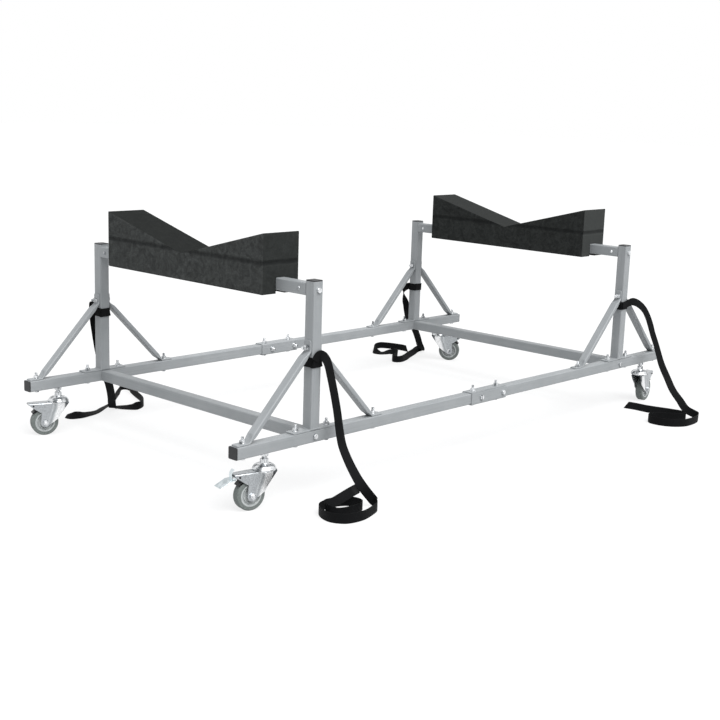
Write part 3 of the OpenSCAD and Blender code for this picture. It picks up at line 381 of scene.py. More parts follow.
def powder_coat_material():
    """Pale grey powder coat: fine orange peel at 0.9 mm, faint streaks along the drawn tube, and
    scuffs that are a little rougher and darker."""
    material, tree = start_material("grey_powder_coated_steel")
    coordinates = add(tree, "TexCoord").outputs
    place = coordinates["Object"]
    along = add(tree, "Mapping", [("Vector", coordinates["UV"]), ("Scale", (1.0, 0.012, 1.0))])
    streaks = add(tree, "TexNoise", [("Vector", along), ("Scale", 1000 / 3.2), ("Detail", 2.0)])
    clouds = add(tree, "TexNoise", [("Vector", place), ("Scale", 1000 / 70), ("Detail", 3.0)])
    scuffs = add(tree, "TexNoise", [("Vector", place), ("Scale", 1000 / 9), ("Detail", 5.0),
                                    ("Roughness", 0.7), ("Distortion", 0.8)])
    peel = add(tree, "TexNoise", [("Vector", place), ("Scale", 1000 / 0.9), ("Detail", 2.0)])
    drawn = add(tree, "ValToRGB", [("Fac", streaks)], [(0.3, "#8f9395"), (0.7, "#a0a3a5")])
    cloudy = add(tree, "ValToRGB", [("Fac", clouds)], [(0.3, "#919597"), (0.72, "#a2a5a7")])
    worn = add(tree, "ValToRGB", [("Fac", scuffs)], [(0.62, "#ffffff"), (0.82, "#8e9294")])
    tone = add(tree, "Mix", [("Factor", 0.5), ("A", drawn), ("B", cloudy)], data_type="RGBA")
    tone = add(tree, "Mix", [("Factor", 0.35), ("A", tone), ("B", worn)], data_type="RGBA",
               blend_type="MULTIPLY")
    rough = add(tree, "MapRange", [("Value", scuffs), ("To Min", 0.36), ("To Max", 0.56)])
    bump = add(tree, "Bump", [("Height", peel), ("Strength", 0.10), ("Distance", 0.0004)])
    return finish_material(material, [("Base Color", tone), ("Roughness", rough), ("IOR", 1.5),
                                      ("Normal", bump)])


coat = powder_coat_material()
for name, (sx, sy) in corners.items():
    shell = lay(tube_shell(min(0, sx * rail_end), max(0, sx * rail_end)), (0, sy * rail_y, rail_mid),
                (Y, Z, X))
    node = name.replace("_", "_rail_")
    piece(node + "_tube", [solid(shell, close_rows=True)], coat, "stand", [node])

# Rail couplers
# Two folded 3 mm steel angles round the butt of each long side. One covers the top and the inner
# face, the other the outer face and the underside, and four bolts draw them together.
coupler_long, coupler_thick = 0.165, 0.003
outer = half + coupler_thick


def bend_arc(centre, radius, start, end, steps=6):
    """Points of an arc from the angle start to the angle end, in degrees."""
    turn = np.radians(np.linspace(start, end, steps))
    return np.asarray(centre) + radius * np.stack([np.cos(turn), np.sin(turn)], axis=1)


fold_inside, fold_outside = 0.0012, 0.0042
outside_bend = bend_arc((outer - fold_outside, outer - fold_outside), fold_outside, 0, 90)
inside_bend = bend_arc((half - fold_inside, half - fold_inside), fold_inside, 90, 0)
angle_outline = np.vstack([[(half, -half), (outer, -half)], outside_bend,
                           [(-half, outer), (-half, half)], inside_bend])
angle_shape = plate(angle_outline, -coupler_long / 2, coupler_long / 2, 0.0007)
for side, name in ((-1, "near"), (1, "far")):
    rail_centre = (0, side * rail_y, rail_mid)
    pair = [solid(lay(angle_shape, rail_centre, (way * -side * Y, way * Z, X))) for way in (1, -1)]
    piece(name + "_coupler_plates", pair, coat, "stand", [name + "_coupler_angles"])

# Cross tubes and cradle bars
# The same tube laid across between the rails and between the tops of the posts, with a welded
# plate just inside each end that takes the bolt.
span = 2 * rail_y - tube
bar_shell = tube_shell(-span / 2, span / 2)
post_top, bar_z = 0.55675, 0.53525
end_plate_wide, end_plate_deep = tube - 2.2 * wall, 0.004
end_plate = plate(rounded_loop(end_plate_wide, end_plate_wide, 0.0018, 4), 0.0003, end_plate_deep, 0.0003)
for side, name in ((-1, "left"), (1, "right")):
    for node, height in ((name + "_cross_tube", rail_mid), (name + "_cradle_bar", bar_z)):
        made = [solid(lay(bar_shell, (side * post_x, 0, height), (Z, X, Y)), close_rows=True)]
        for end in (-1, 1):
            made.append(solid(lay(end_plate, (side * post_x, end * span / 2, height), (Z, X, -end * Y))))
        piece(node + "_steel", made, coat, "stand", [node])

# Posts
# Square tube welded upright on a 4 mm foot plate that two bolts hold to the rail. A wavy weld bead
# runs round the foot.
foot_plate_long, foot_plate_thick, weld_radius, weld_ripple = 0.150, 0.004, 0.0016, 0.003


def weld_bead(width, height, radius):
    """Carries a circle round the square post. Its radius swells by up to 22% at each ripple."""
    path = rounded_loop(width, width, tube_corner, 9)
    path = np.vstack([path[k] + (path[(k + 1) % len(path)] - path[k]) * np.linspace(0, 1, 9)[:-1, None]
                      for k in range(len(path))])
    ahead_way = unit(np.roll(path, -1, axis=0) - np.roll(path, 1, axis=0))
    away = np.stack([ahead_way[:, 1], -ahead_way[:, 0]], axis=1)
    run = np.concatenate([[0], np.cumsum(np.linalg.norm(np.diff(path, axis=0), axis=1))])
    swell = radius * (1 + 0.22 * np.abs(np.sin(run * math.pi / weld_ripple)))
    turn = np.linspace(0, 2 * math.pi, 10, endpoint=False)
    reach = swell[:, None] * np.cos(turn)[None, :]
    rise = height + swell[:, None] * np.sin(turn)[None, :]
    return np.concatenate([path[:, None, :] + away[:, None, :] * reach[:, :, None], rise[:, :, None]], axis=2)


for name, (sx, sy) in corners.items():
    place = (sx * post_x, sy * rail_y, 0)
    foot = plate(rounded_loop(foot_plate_long, tube, 0.0035, 5), rail_top, rail_top + foot_plate_thick,
                 0.0009)
    upright_tube = tube_shell(rail_top + foot_plate_thick / 2, post_top)
    bead = weld_bead(tube, rail_top + foot_plate_thick, weld_radius)
    made = [solid(lay(foot, place, (X, Y, Z)))]
    made += [solid(lay(ring, place, (X, Y, Z)), close_rows=True) for ring in (upright_tube, bead)]
    piece(name + "_post_steel", made, coat, "stand", [name + "_post"])

# Braces
# Flat-sided steel tube, 25.4 by 12.7 mm, whose two ends are pressed flat to 4 mm tabs and bent: one
# tab lies on the rail and the other against the post. The press leaves a hollow in both wide faces.
brace_wide, brace_deep, tab_thick = 0.0254, 0.0127, 0.004
brace_stops = np.array([(0.258, 0.002), (0.218, 0.002), (0.017875, 0.206), (0.017875, 0.235)])
brace_bend, press_run, tab_round = 0.009, 0.026, 0.006


def brace_grid():
    """Carries the brace's section along its stops: foot tab, slope and upper tab. A quadratic curve
    rounds either bend, and the section goes smoothly from flat tab to full tube over the press's
    run, while half a cosine hollows the wide faces on the way."""
    path = [brace_stops[:1]]
    for before, stop, after in (brace_stops[:3], brace_stops[1:]):
        come, go = unit(stop - before), unit(after - stop)
        reach = brace_bend * math.tan(math.acos(float(come @ go)) / 2)
        share = np.linspace(0, 1, 7)[:, None]
        path.append((1 - share) ** 2 * (stop - come * reach) + 2 * share * (1 - share) * stop
                    + share ** 2 * (stop + go * reach))
    path.append(brace_stops[3:])
    path = np.vstack(path)
    run = np.concatenate([[0], np.cumsum(np.linalg.norm(np.diff(path, axis=0), axis=1))])
    low_bend, high_bend = run[4], run[11]
    from_ends = np.array([0, 0.0006, 0.0015, 0.003, tab_round])
    pressed = np.linspace(0, press_run, 12)
    level_run = np.unique(np.round(np.concatenate([from_ends, run, low_bend + pressed, high_bend - pressed,
                                                   run[-1] - from_ends]), 6))
    points = np.stack([np.interp(level_run, run, path[:, k]) for k in (0, 1)], axis=1)
    ahead_way = unit(np.gradient(points, level_run, axis=0))
    thick_way = np.stack([-ahead_way[:, 1], ahead_way[:, 0]], axis=1)
    share = np.clip(np.minimum(level_run - low_bend, high_bend - level_run) / press_run, 0, 1)
    share = share ** 2 * (3 - 2 * share)
    from_end = np.minimum(level_run, level_run[-1] - level_run)
    round_off = tab_round - np.sqrt(tab_round ** 2 - (tab_round - np.minimum(from_end, tab_round)) ** 2)
    loops = []
    for at, part in enumerate(share):
        deep = tab_thick + (brace_deep - tab_thick) * part
        loop = rounded_loop(brace_wide - 2 * round_off[at], deep, min(0.0028, deep * 0.4), 4)
        between = np.linspace(0, 1, 9)[1:-1, None]
        loop = np.vstack([loop[:4], loop[3] + (loop[4] - loop[3]) * between, loop[4:12],
                          loop[11] + (loop[12] - loop[11]) * between, loop[12:]])
        hollow = 1.9 * part * (1 - part)
        loop[:, 1] *= 1 - hollow * np.cos(math.pi * loop[:, 0] / brace_wide) ** 2
        loops.append(loop)
    loops = np.array(loops)
    flat = points[:, None, :] + thick_way[:, None, :] * loops[:, :, 1:]
    return np.stack([flat[:, :, 0], loops[:, :, 0], flat[:, :, 1]], axis=2)


brace_shape = brace_grid()
for name, (sx, sy) in corners.items():
    pair = [solid(lay(brace_shape, (sx * post_x, sy * rail_y, rail_top), (turn * X, Y, Z)))
            for turn in (-1, 1)]
    piece(name + "_brace_pair", pair, coat, "stand", [name + "_braces"])

# Foam cradles
# Blocks of charcoal closed-cell foam, two layers glued together, with a shallow vee cut in the top
# and a slot below that pushes down over the cradle bar.
foam_long, foam_thick, foam_low, foam_high, vee_deep = 0.663, 0.126, 0.509375, 0.667375, 0.086
slot_half, slot_top, glue_line, foam_edge = 0.016175, 0.551425, 0.590, 0.0022


def foam_material(name, skin_low, skin_high, end_and_vee_painted_tone):
    """Charcoal foam, which is matt: broken cells, drawn 1.5 mm across so that they show, mottling of
    2 and 26 mm, skin on its wide faces, painted light and shade on its ends and vee by the way they
    face, and a soft dark band along the glue line, the joint's dark line with painted shade in its dent."""
    material, tree = start_material(name)
    coordinates = add(tree, "TexCoord").outputs
    place = coordinates["Object"]
    cells = add(tree, "TexVoronoi", [("Vector", place), ("Scale", 1000 / 1.5)], feature="F1")
    fine = add(tree, "TexNoise", [("Vector", place), ("Scale", 1000 / 2.2), ("Detail", 4.0),
                                  ("Roughness", 0.65)])
    wide = add(tree, "TexNoise", [("Vector", place), ("Scale", 1000 / 26), ("Detail", 3.0),
                                  ("Roughness", 0.6), ("Distortion", 1.5)])
    skin = add(tree, "ValToRGB", [("Fac", fine)], [(0.32, skin_low), (0.7, skin_high)])
    patches = add(tree, "ValToRGB", [("Fac", wide)], [(0.32, "#c2c2c2"), (0.66, "#ffffff")])
    pores = add(tree, "ValToRGB", [("Fac", cells)], [(0.05, "#8d8d8d"), (0.3, "#ffffff")])
    tone = add(tree, "Mix", [("Factor", 1.0), ("A", skin), ("B", patches)], data_type="RGBA",
               blend_type="MULTIPLY")
    tone = add(tree, "Mix", [("Factor", 0.55), ("A", tone), ("B", pores)], data_type="RGBA",
               blend_type="MULTIPLY")
    # The ends and the vee, which point little along X, get their own tone, which is painted light and
    # shade. The vee's slopes, which point up, are a fifth darker still: painted shade.
    facing = add(tree, "SeparateXYZ", [("Vector", coordinates["Normal"])]).outputs
    sideways = add(tree, "Math", [(0, facing["X"])], operation="ABSOLUTE")
    end_and_vee_share = add(tree, "MapRange", [("Value", sideways), ("From Min", 0.3), ("From Max", 0.8), ("To Min", 0.75),
                                 ("To Max", 0.0)])
    sloping = add(tree, "MapRange", [("Value", facing["Z"]), ("From Min", 0.5), ("From Max", 0.9)])
    tone = add(tree, "Mix", [("Factor", end_and_vee_share), ("A", tone), ("B", linear(end_and_vee_painted_tone))], data_type="RGBA")
    tone = add(tree, "Mix", [("Factor", sloping), ("A", tone), ("B", linear("#cbcbcb"))], data_type="RGBA",
               blend_type="MULTIPLY")
    # The dark band follows the glue line, which wanders by 1.2 mm, and fades out over 9.5 mm and on
    # the slopes: the joint's own dark line with painted shade in its dent.
    uneven = add(tree, "TexNoise", [("Vector", place), ("Scale", 1000 / 60), ("Detail", 1.0)])
    wave = add(tree, "MapRange", [("Value", uneven), ("To Min", -0.0012), ("To Max", 0.0012)])
    height = add(tree, "SeparateXYZ", [("Vector", place)]).outputs["Z"]
    above = add(tree, "Math", [(0, height), (1, wave)], operation="ADD")
    above = add(tree, "Math", [(0, above), (1, glue_line)], operation="SUBTRACT")
    off = add(tree, "Math", [(0, above)], operation="ABSOLUTE")
    near = add(tree, "MapRange", [("Value", off), ("From Min", 0.0010), ("From Max", 0.0095), ("To Min", 1.0),
                                  ("To Max", 0.0)], interpolation_type="SMOOTHSTEP")
    upright_share = add(tree, "Math", [(0, 1.0), (1, sloping)], operation="SUBTRACT")
    dent = add(tree, "Math", [(0, near), (1, upright_share)], operation="MULTIPLY")
    # Painted shade in the dent, laid over the joint's dark line.
    shade = add(tree, "Math", [(0, dent), (1, 0.5)], operation="MULTIPLY")
    tone = add(tree, "Mix", [("Factor", shade), ("A", tone), ("B", linear("#141516"))], data_type="RGBA")
    relief = add(tree, "Math", [(0, fine), (1, cells)], operation="ADD")
    grain = add(tree, "Bump", [("Height", relief), ("Strength", 0.55), ("Distance", 0.0006)])
    groove = add(tree, "Math", [(0, 1.0), (1, dent)], operation="SUBTRACT")
    bump = add(tree, "Bump", [("Height", groove), ("Strength", 0.8), ("Distance", 0.0030), ("Normal", grain)])
    return finish_material(material, [("Base Color", tone), ("Roughness", 0.93), ("IOR", 1.35),
                                      ("Specular IOR Level", 0.08), ("Normal", bump)])


def foam_grid():
    """Carries the block's section, an upside-down U, along its length. Its top rises in step with
    the distance from the middle, which makes the vee, and a quarter circle softens each outer edge."""
    turn = np.linspace(0, math.pi / 2, 5)
    end_rows = foam_long / 2 - foam_edge * (1 - np.sin(turn))
    inner_rows = np.concatenate([[0, 0.0015, 0.006], np.linspace(0.02, foam_long / 2 - foam_edge - 0.01, 20)])
    levels = np.concatenate([inner_rows, end_rows])
    shrink = np.concatenate([np.zeros(len(inner_rows)), foam_edge * (1 - np.cos(turn))])
    levels, shrink = np.concatenate([-levels[:0:-1], levels]), np.concatenate([shrink[:0:-1], shrink])
    loops = []
    for level, less in zip(levels, shrink):
        top = foam_high - vee_deep + vee_deep * abs(level) / (foam_long / 2) - less
        side, bottom = foam_thick / 2 - less, foam_low + less
        lower = [(0, slot_top), (slot_half, slot_top), (slot_half, bottom), (side - foam_edge, bottom)]
        face_low, face_tall = bottom + foam_edge, top - bottom - 2 * foam_edge
        face = [(side, face_low + face_tall * share) for share in (0, 0.02, 0.35, 0.66, 0.98)]
        right = np.vstack([lower, face, bend_arc((side - foam_edge, top - foam_edge), foam_edge, 0, 90, 5),
                           [(side - 0.006, top), (side * 0.5, top)]])
        left = right[::-1] * (-1, 1)
        loops.append(np.vstack([right, [(0, top)], left[:-1]]))
    loops = np.array(loops)
    along = np.broadcast_to(levels[:, None], loops.shape[:2])
    return np.stack([loops[:, :, 0], along, loops[:, :, 1]], axis=2)


foam_shape = foam_grid()
# The two blocks are one foam. The left one's paler skin and darker ends, and the right one's darker skin and
# paler ends, are painted light and shade.
foam_lit_and_shaded_tones = {"left": ("#393b3a", "#5b5d5c", "#2a2c2b"), "right": ("#282a29", "#424443", "#464847")}
for side, name in ((-1, "left"), (1, "right")):
    foam = foam_material("charcoal_foam_lit_and_shaded_" + name, *foam_lit_and_shaded_tones[name])
    block = piece(name + "_foam_block", [solid(foam_shape + (side * post_x, 0, 0))], foam, "stand",
                  [name + "_foam_cradle"], 50)

# Plugs
# Black moulded caps that close the rails' ends and the posts' tops: a head the size of the tube,
# slightly rounded, and a skirt that grips inside it.
plug_head, plug_skirt, plug_play = 0.003, 0.014, 0.0001


def moulded_black_material(name, colour_low, colour_high, roughness):
    """Black moulded plastic with a fine spark-eroded grain of 0.5 mm and faint handling marks."""
    material, tree = start_material(name)
    place = add(tree, "TexCoord").outputs["Object"]
    marks = add(tree, "TexNoise", [("Vector", place), ("Scale", 1000 / 12), ("Detail", 4.0),
                                   ("Roughness", 0.6)])
    grain = add(tree, "TexNoise", [("Vector", place), ("Scale", 1000 / 0.5), ("Detail", 2.0)])
    tone = add(tree, "ValToRGB", [("Fac", marks)], [(0.3, colour_low), (0.75, colour_high)])
    rough = add(tree, "MapRange", [("Value", marks), ("To Min", roughness), ("To Max", roughness + 0.16)])
    bump = add(tree, "Bump", [("Height", grain), ("Strength", 0.12), ("Distance", 0.0003)])
    return finish_material(material, [("Base Color", tone), ("Roughness", rough), ("IOR", 1.48),
                                      ("Normal", bump)])


def plug(origin, ways):
    """A plug whose head stands out along the third way and whose skirt goes back into the tube."""
    head = plate(rounded_loop(tube, tube, 0.0036, 6), 0, plug_head, 0.0012)
    inside = tube - 2 * wall - plug_play
    skirt = plate(rounded_loop(inside, inside, 0.002, 6), -plug_skirt, 0.0004, 0.0006)
    return [solid(lay(head, origin, ways)), solid(lay(skirt, origin, ways))]


black_plastic = moulded_black_material("black_moulded_plastic", "#16171a", "#222427", 0.42)
rail_plugs, post_plugs = [], []
for sx, sy in corners.values():
    rail_plugs += plug((sx * rail_end, sy * rail_y, rail_mid), (sx * Y, Z, sx * X))
    post_plugs += plug((sx * post_x, sy * rail_y, post_top), (X, Y, Z))
piece("rail_end_plugs", rail_plugs, black_plastic, "stand", ["rail_end_caps"])
piece("post_top_plugs", post_plugs, black_plastic, "stand", ["post_caps"])

# Frame fasteners
# Zinc-plated M8 hexagon bolts, each with a washer, a nut and a few turns of thread to spare, and a
# small round-headed screw near each end of a cradle bar.
bolt_radius, thread_pitch, hex_flats, nut_tall = 0.004, 0.00125, 0.013, 0.0065
head_tall, washer_tall, thread_spare, bore_play = 0.0053, 0.0015, 0.0095, 0.00005


def zinc_material(name, low, high, roughness, reflection_band_mm, mottled=0.8):
    """Bright zinc plate: upright dark and bright bands, which are painted reflections, cloudy crystals
    and duller spots."""
    material, tree = start_material(name)
    place = add(tree, "TexCoord").outputs["Object"]
    upright_place = add(tree, "Mapping", [("Vector", place), ("Scale", (1.0, 1.0, 0.22))])
    reflection_streaks = add(tree, "TexNoise", [("Vector", upright_place), ("Scale", 1000 / reflection_band_mm), ("Detail", 1.5),
                                    ("Roughness", 0.4)])
    crystals = add(tree, "TexNoise", [("Vector", place), ("Scale", 1000 / 4), ("Detail", 4.0),
                                      ("Roughness", 0.6)])
    spots = add(tree, "TexNoise", [("Vector", place), ("Scale", 1000 / 3), ("Detail", 5.0),
                                   ("Roughness", 0.7)])
    waves = add(tree, "TexNoise", [("Vector", place), ("Scale", 1000 / 1.6), ("Detail", 3.0)])
    # Painted reflections: the stretched noise lays upright dark and bright bands into the colour.
    painted_light_bands = add(tree, "ValToRGB", [("Fac", reflection_streaks)], [(0.36, low), (0.52, high)])
    clouds = add(tree, "ValToRGB", [("Fac", crystals)], [(0.3, "#c4c4c4"), (0.6, "#ffffff")])
    tone = add(tree, "Mix", [("Factor", mottled), ("A", painted_light_bands), ("B", clouds)], data_type="RGBA",
               blend_type="MULTIPLY")
    rough = add(tree, "MapRange", [("Value", spots), ("From Min", 0.3), ("From Max", 0.75),
                                   ("To Min", roughness), ("To Max", roughness + 0.2)])
    bump = add(tree, "Bump", [("Height", waves), ("Strength", 0.06), ("Distance", 0.0003)])
    return finish_material(material, [("Base Color", tone), ("Metallic", 0.8), ("Roughness", rough),
                                      ("Normal", bump)])


def turned(profile, steps=40):
    """Revolves (radius, height) rows about w."""
    turn = np.linspace(0, 2 * math.pi, steps, endpoint=False)
    radius, height = np.asarray(profile, float).T
    return np.stack([radius[:, None] * np.cos(turn), radius[:, None] * np.sin(turn),
                     np.broadcast_to(height[:, None], (len(radius), steps))], axis=2)


def hexagon(flats, limits, levels, steps=48):
    """Hexagon rows at the levels, each no wider from the axis than its limit, so that the corners
    are chamfered round as on a turned nut."""
    turn = np.linspace(0, 2 * math.pi, steps, endpoint=False)
    flat = flats / 2 / np.cos((turn + math.pi / 6) % (math.pi / 3) - math.pi / 6)
    radius = np.minimum(flat[None, :], np.asarray(limits)[:, None])
    return np.stack([radius * np.cos(turn), radius * np.sin(turn),
                     np.broadcast_to(np.asarray(levels)[:, None], radius.shape)], axis=2)


def chamfer_limits(flats):
    """Limits and depths of a 30 degree chamfer, from the face inwards."""
    widest, face = flats / math.sqrt(3), flats / 2 * 0.96
    limits = np.linspace(face, widest, 4)
    return limits, (limits - face) * math.tan(math.pi / 6)


def hex_nut(flats, low, tall, bore):
    """Nut with both faces chamfered and a countersunk bore, as one ring of rows from outside in."""
    limits, depth = chamfer_limits(flats)
    levels = low + np.concatenate([depth, tall - depth[::-1]])
    outside = hexagon(flats, np.concatenate([limits, limits[::-1]]), levels)
    high, sink = low + tall, 0.0006
    hole = turned([(bore + sink, high), (bore, high - sink), (bore, low + sink), (bore + sink, low)], 48)
    return np.concatenate([outside, hole])


def hex_head(flats, tall):
    """Head that hangs from w = 0 to w = -tall, with its chamfer at the outer end."""
    limits, depth = chamfer_limits(flats)
    widest = flats / math.sqrt(3)
    return hexagon(flats, np.concatenate([limits, [widest]]), np.concatenate([depth - tall, [0]]))


def rod(radius, low, thread_from, high, pitch):
    """Round bar whose end from thread_from on carries a helical thread of the given pitch."""
    levels = np.concatenate([[low], np.arange(thread_from, high, pitch / 6), [high]])
    turn = np.linspace(0, 2 * math.pi, 24, endpoint=False)
    phase = levels[:, None] / pitch - turn[None, :] / (2 * math.pi)
    groove = 0.3 * pitch * (1 - np.cos(2 * math.pi * phase)) * (levels[:, None] >= thread_from)
    point = np.clip((levels - high) / pitch + 1, 0, 1)[:, None] * 0.3 * pitch
    r = radius - groove - point
    return np.stack([r * np.cos(turn), r * np.sin(turn), np.broadcast_to(levels[:, None], r.shape)], axis=2)


def washer(low, tall, inner_radius, outer_radius):
    """Flat ring with a small bevel round its outer edges."""
    high, bevel = low + tall, 0.0003
    return turned([(inner_radius, low), (outer_radius - bevel, low), (outer_radius, low + bevel),
                   (outer_radius, high - bevel), (outer_radius - bevel, high), (inner_radius, high)])


def bolt_set(origin, way, grip):
    """Bolt from origin along way, with its washer and nut seated at the distance grip."""
    side = Y if abs(way @ X) > 0.5 else X
    ways = (side, np.cross(way, side), way)
    end = grip + washer_tall + nut_tall + thread_spare
    made = [solid(lay(hex_head(hex_flats, head_tall), origin, ways)),
            solid(lay(rod(bolt_radius, -0.0005, end - 0.020, end, thread_pitch), origin, ways))]
    rings = [washer(grip, washer_tall, bolt_radius + 0.0002, hex_flats / math.sqrt(3) + 0.0005),
             hex_nut(hex_flats, grip + washer_tall, nut_tall, bolt_radius + bore_play)]
    return made + [solid(lay(ring, origin, ways), close_rows=True) for ring in rings]


zinc = zinc_material("zinc_plated_steel", "#7f8386", "#eef0f2", 0.2, 7)
brace_reach, foot_bolt_off, brace_rise, screw_inset = 0.232, 0.055, 0.216, 0.024
upright_bolts_x, level_bolts_x = (-0.058, 0.052), (-0.038, 0.066)
screw_radius, screw_long, screw_head_radius, screw_head_tall = 0.0025, 0.020, 0.005, 0.0024
dome_turn = np.linspace(0, 1.35, 7)
screw_dome = np.stack([screw_head_radius * np.cos(dome_turn), 0.0004 + screw_head_tall * np.sin(dome_turn)],
                      axis=1)
screw_shank = [(screw_radius, -screw_long), (screw_radius, 0), (screw_head_radius, 0)]
screw = turned(np.vstack([screw_shank, screw_dome]), 24)
brace_feet, post_feet, brace_tops, cross_ends, bar_ends, coupling = [], [], [], [], [], []
for sx, sy in corners.values():
    x, y = sx * post_x, sy * rail_y
    for turn in (-1, 1):
        brace_feet += bolt_set((x + turn * brace_reach, y, rail_low), Z, tube + tab_thick)
        post_feet += bolt_set((x + turn * foot_bolt_off, y, rail_low), Z, tube + foot_plate_thick)
    brace_tops += bolt_set((x + half + tab_thick, y, rail_top + brace_rise), -X, tube + 2 * tab_thick)
    cross_ends += bolt_set((x, y + sy * half, rail_mid), -sy * Y, tube + end_plate_deep)
    bar_ends += bolt_set((x, y + sy * half, bar_z), -sy * Y, tube + end_plate_deep)
    bar_ends.append(solid(lay(screw, (x - half, sy * (span / 2 - screw_inset), bar_z), (Z, Y, -X))))
for side in (-1, 1):
    for x in upright_bolts_x:
        coupling += bolt_set((x, side * rail_y, rail_mid - outer), Z, 2 * outer)
    for x in level_bolts_x:
        coupling += bolt_set((x, side * (rail_y + outer), rail_mid), -side * Y, 2 * outer)
fasteners = {"brace_foot_bolts": brace_feet, "post_foot_bolts": post_feet, "brace_top_bolts": brace_tops,
             "coupler_bolts": coupling, "cross_tube_bolts": cross_ends, "cradle_bar_bolts": bar_ends}
for node, made in fasteners.items():
    piece(node + "_m8", made, zinc, "stand", [node], 30)

# Casters
# Swivel casters with 80 mm wheels. A threaded stem with a wrench hexagon is clamped in the rail by
# two nuts, and a domed cup covers the ball race on top of the pressed fork.
stem_x = 0.879
caster_turns = {"near_left": 168, "near_right": 8, "far_left": 160, "far_right": -55}
crown_z, trail, wheel_radius, fork_sheet, fork_gap = 0.0995, 0.042, 0.040, 0.0025, 0.030
cup_low, cup_tall = 0.0998, 0.017
stem_radius, stem_hole, stem_pitch, stem_flats = 0.006, 0.00605, 0.00175, 0.019
collar_low, collar_tall, clamp_nut_low, clamp_nut_tall, lock_nut_low = 0.1168, 0.010, 0.133, 0.009, 0.1436


def caster_ways(name):
    """The ways of a caster: along its trail from the stem to the wheel, to its left, and up."""
    turn = math.radians(caster_turns[name])
    along = np.array([math.cos(turn), math.sin(turn), 0])
    return along, np.cross(Z, along), Z


def caster_origin(name):
    """The point on the floor under a caster's stem."""
    sx, sy = corners[name]
    return (sx * stem_x, sy * rail_y, 0)


# The stem's rivet head under the crown, then its shank, threaded from the wrench hexagon up.
rivet = turned([(0.0088, 0.0937), (0.010, 0.0943), (0.010, 0.0967), (stem_radius, 0.0967)], 24)
stem = np.concatenate([rivet, rod(stem_radius, 0.0968, 0.1262, 0.1551, stem_pitch)])
limits, depth = chamfer_limits(stem_flats)
collar_levels = collar_low + np.concatenate([[0], collar_tall - depth[::-1]])
collar = hexagon(stem_flats, np.concatenate([[stem_flats / math.sqrt(3)], limits[::-1]]), collar_levels)
# The cup's outline from its rim over the elliptic dome to the neck, down the bore, and back under it
# along the groove that the balls run in.
dome_turn = np.linspace(0.05, 1.45, 9)
cup_dome = np.stack([0.0115 + 0.0170 * np.cos(dome_turn), 0.0048 + 0.0098 * np.sin(dome_turn)], axis=1)
cup_profile = np.vstack([[(0.0295, 0), (0.030, 0.0006), (0.030, 0.0036), (0.0292, 0.0046)], cup_dome,
                         [(0.0122, 0.0151), (0.0110, 0.0168), (0.0104, cup_tall), (stem_hole, cup_tall)],
                         [(stem_hole, 0.0025), (0.0155, 0.0001), (0.0164, 0.0012), (0.0176, 0.0045)],
                         [(0.019, 0.0051), (0.0204, 0.0045), (0.0216, 0.0012), (0.0225, 0)]])
cup = turned(cup_profile + (0, cup_low), 64)
stems, stem_nuts, cups = [], [], []
for name in corners:
    origin, ways = caster_origin(name), caster_ways(name)
    stems += [solid(lay(stem, origin, ways)), solid(lay(collar, origin, ways))]
    for low, tall in ((clamp_nut_low, clamp_nut_tall), (lock_nut_low, nut_tall)):
        nut = hex_nut(stem_flats, low, tall, stem_radius + bore_play)
        stem_nuts.append(solid(lay(nut, origin, ways), close_rows=True))
    cups.append(solid(lay(cup, origin, ways), close_rows=True))
polished = zinc_material("polished_zinc_steel", "#7b7f82", "#eff1f3", 0.14, 13)
piece("caster_stem_threads", stems, zinc, "stand", ["caster_stems"], 30)
piece("caster_clamp_nuts", stem_nuts, zinc, "stand", ["caster_nuts"], 30)
piece("caster_bearing_domes", cups, polished, "stand", ["bearing_cups"], 30)
ball_steel = zinc_material("polished_ball_steel", "#9a9da0", "#b4b7ba", 0.10, 2)
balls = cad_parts["swivel_balls"]
for slot_index in range(len(balls.material_slots)):
    balls.material_slots[slot_index].material = ball_steel

# Forks and wheels
# The fork is pressed from one 2.5 mm sheet: a crown, two cheeks with lips turned in along their
# rear edge, and a horn over the wheel. The wheel is a moulded hub in a tyre of grey rubber.


def fork_outline():
    """The cheek's lower edge from the crown's back round the axle to the horn's tip, as (d, z)
    points with d along the trail, and for each the d at which it meets the crown."""
    nose = bend_arc((trail, wheel_radius), 0.014, 215, 325, 11)
    rear = [(-0.028, 0.0955), (-0.0205, 0.0845), (-0.0125, 0.0735), (-0.0045, 0.062), (0.004, 0.050),
            (0.0165, 0.0405)]
    front = [(0.0555, 0.040), (0.0545, 0.048), (0.050, 0.0555), (0.0485, 0.062), (0.0505, 0.0665),
             (0.055, 0.070), (0.0675, 0.078), (0.080, 0.087), (0.0895, 0.0955)]
    lower = np.vstack([rear, nose, front])
    run = np.concatenate([[0], np.cumsum(np.linalg.norm(np.diff(lower, axis=0), axis=1))])
    stops = run[[0, 7, 11, 17, 21, -1]]
    return lower, np.interp(run, stops, [-0.028, 0.012, 0.030, 0.048, 0.056, 0.0895])


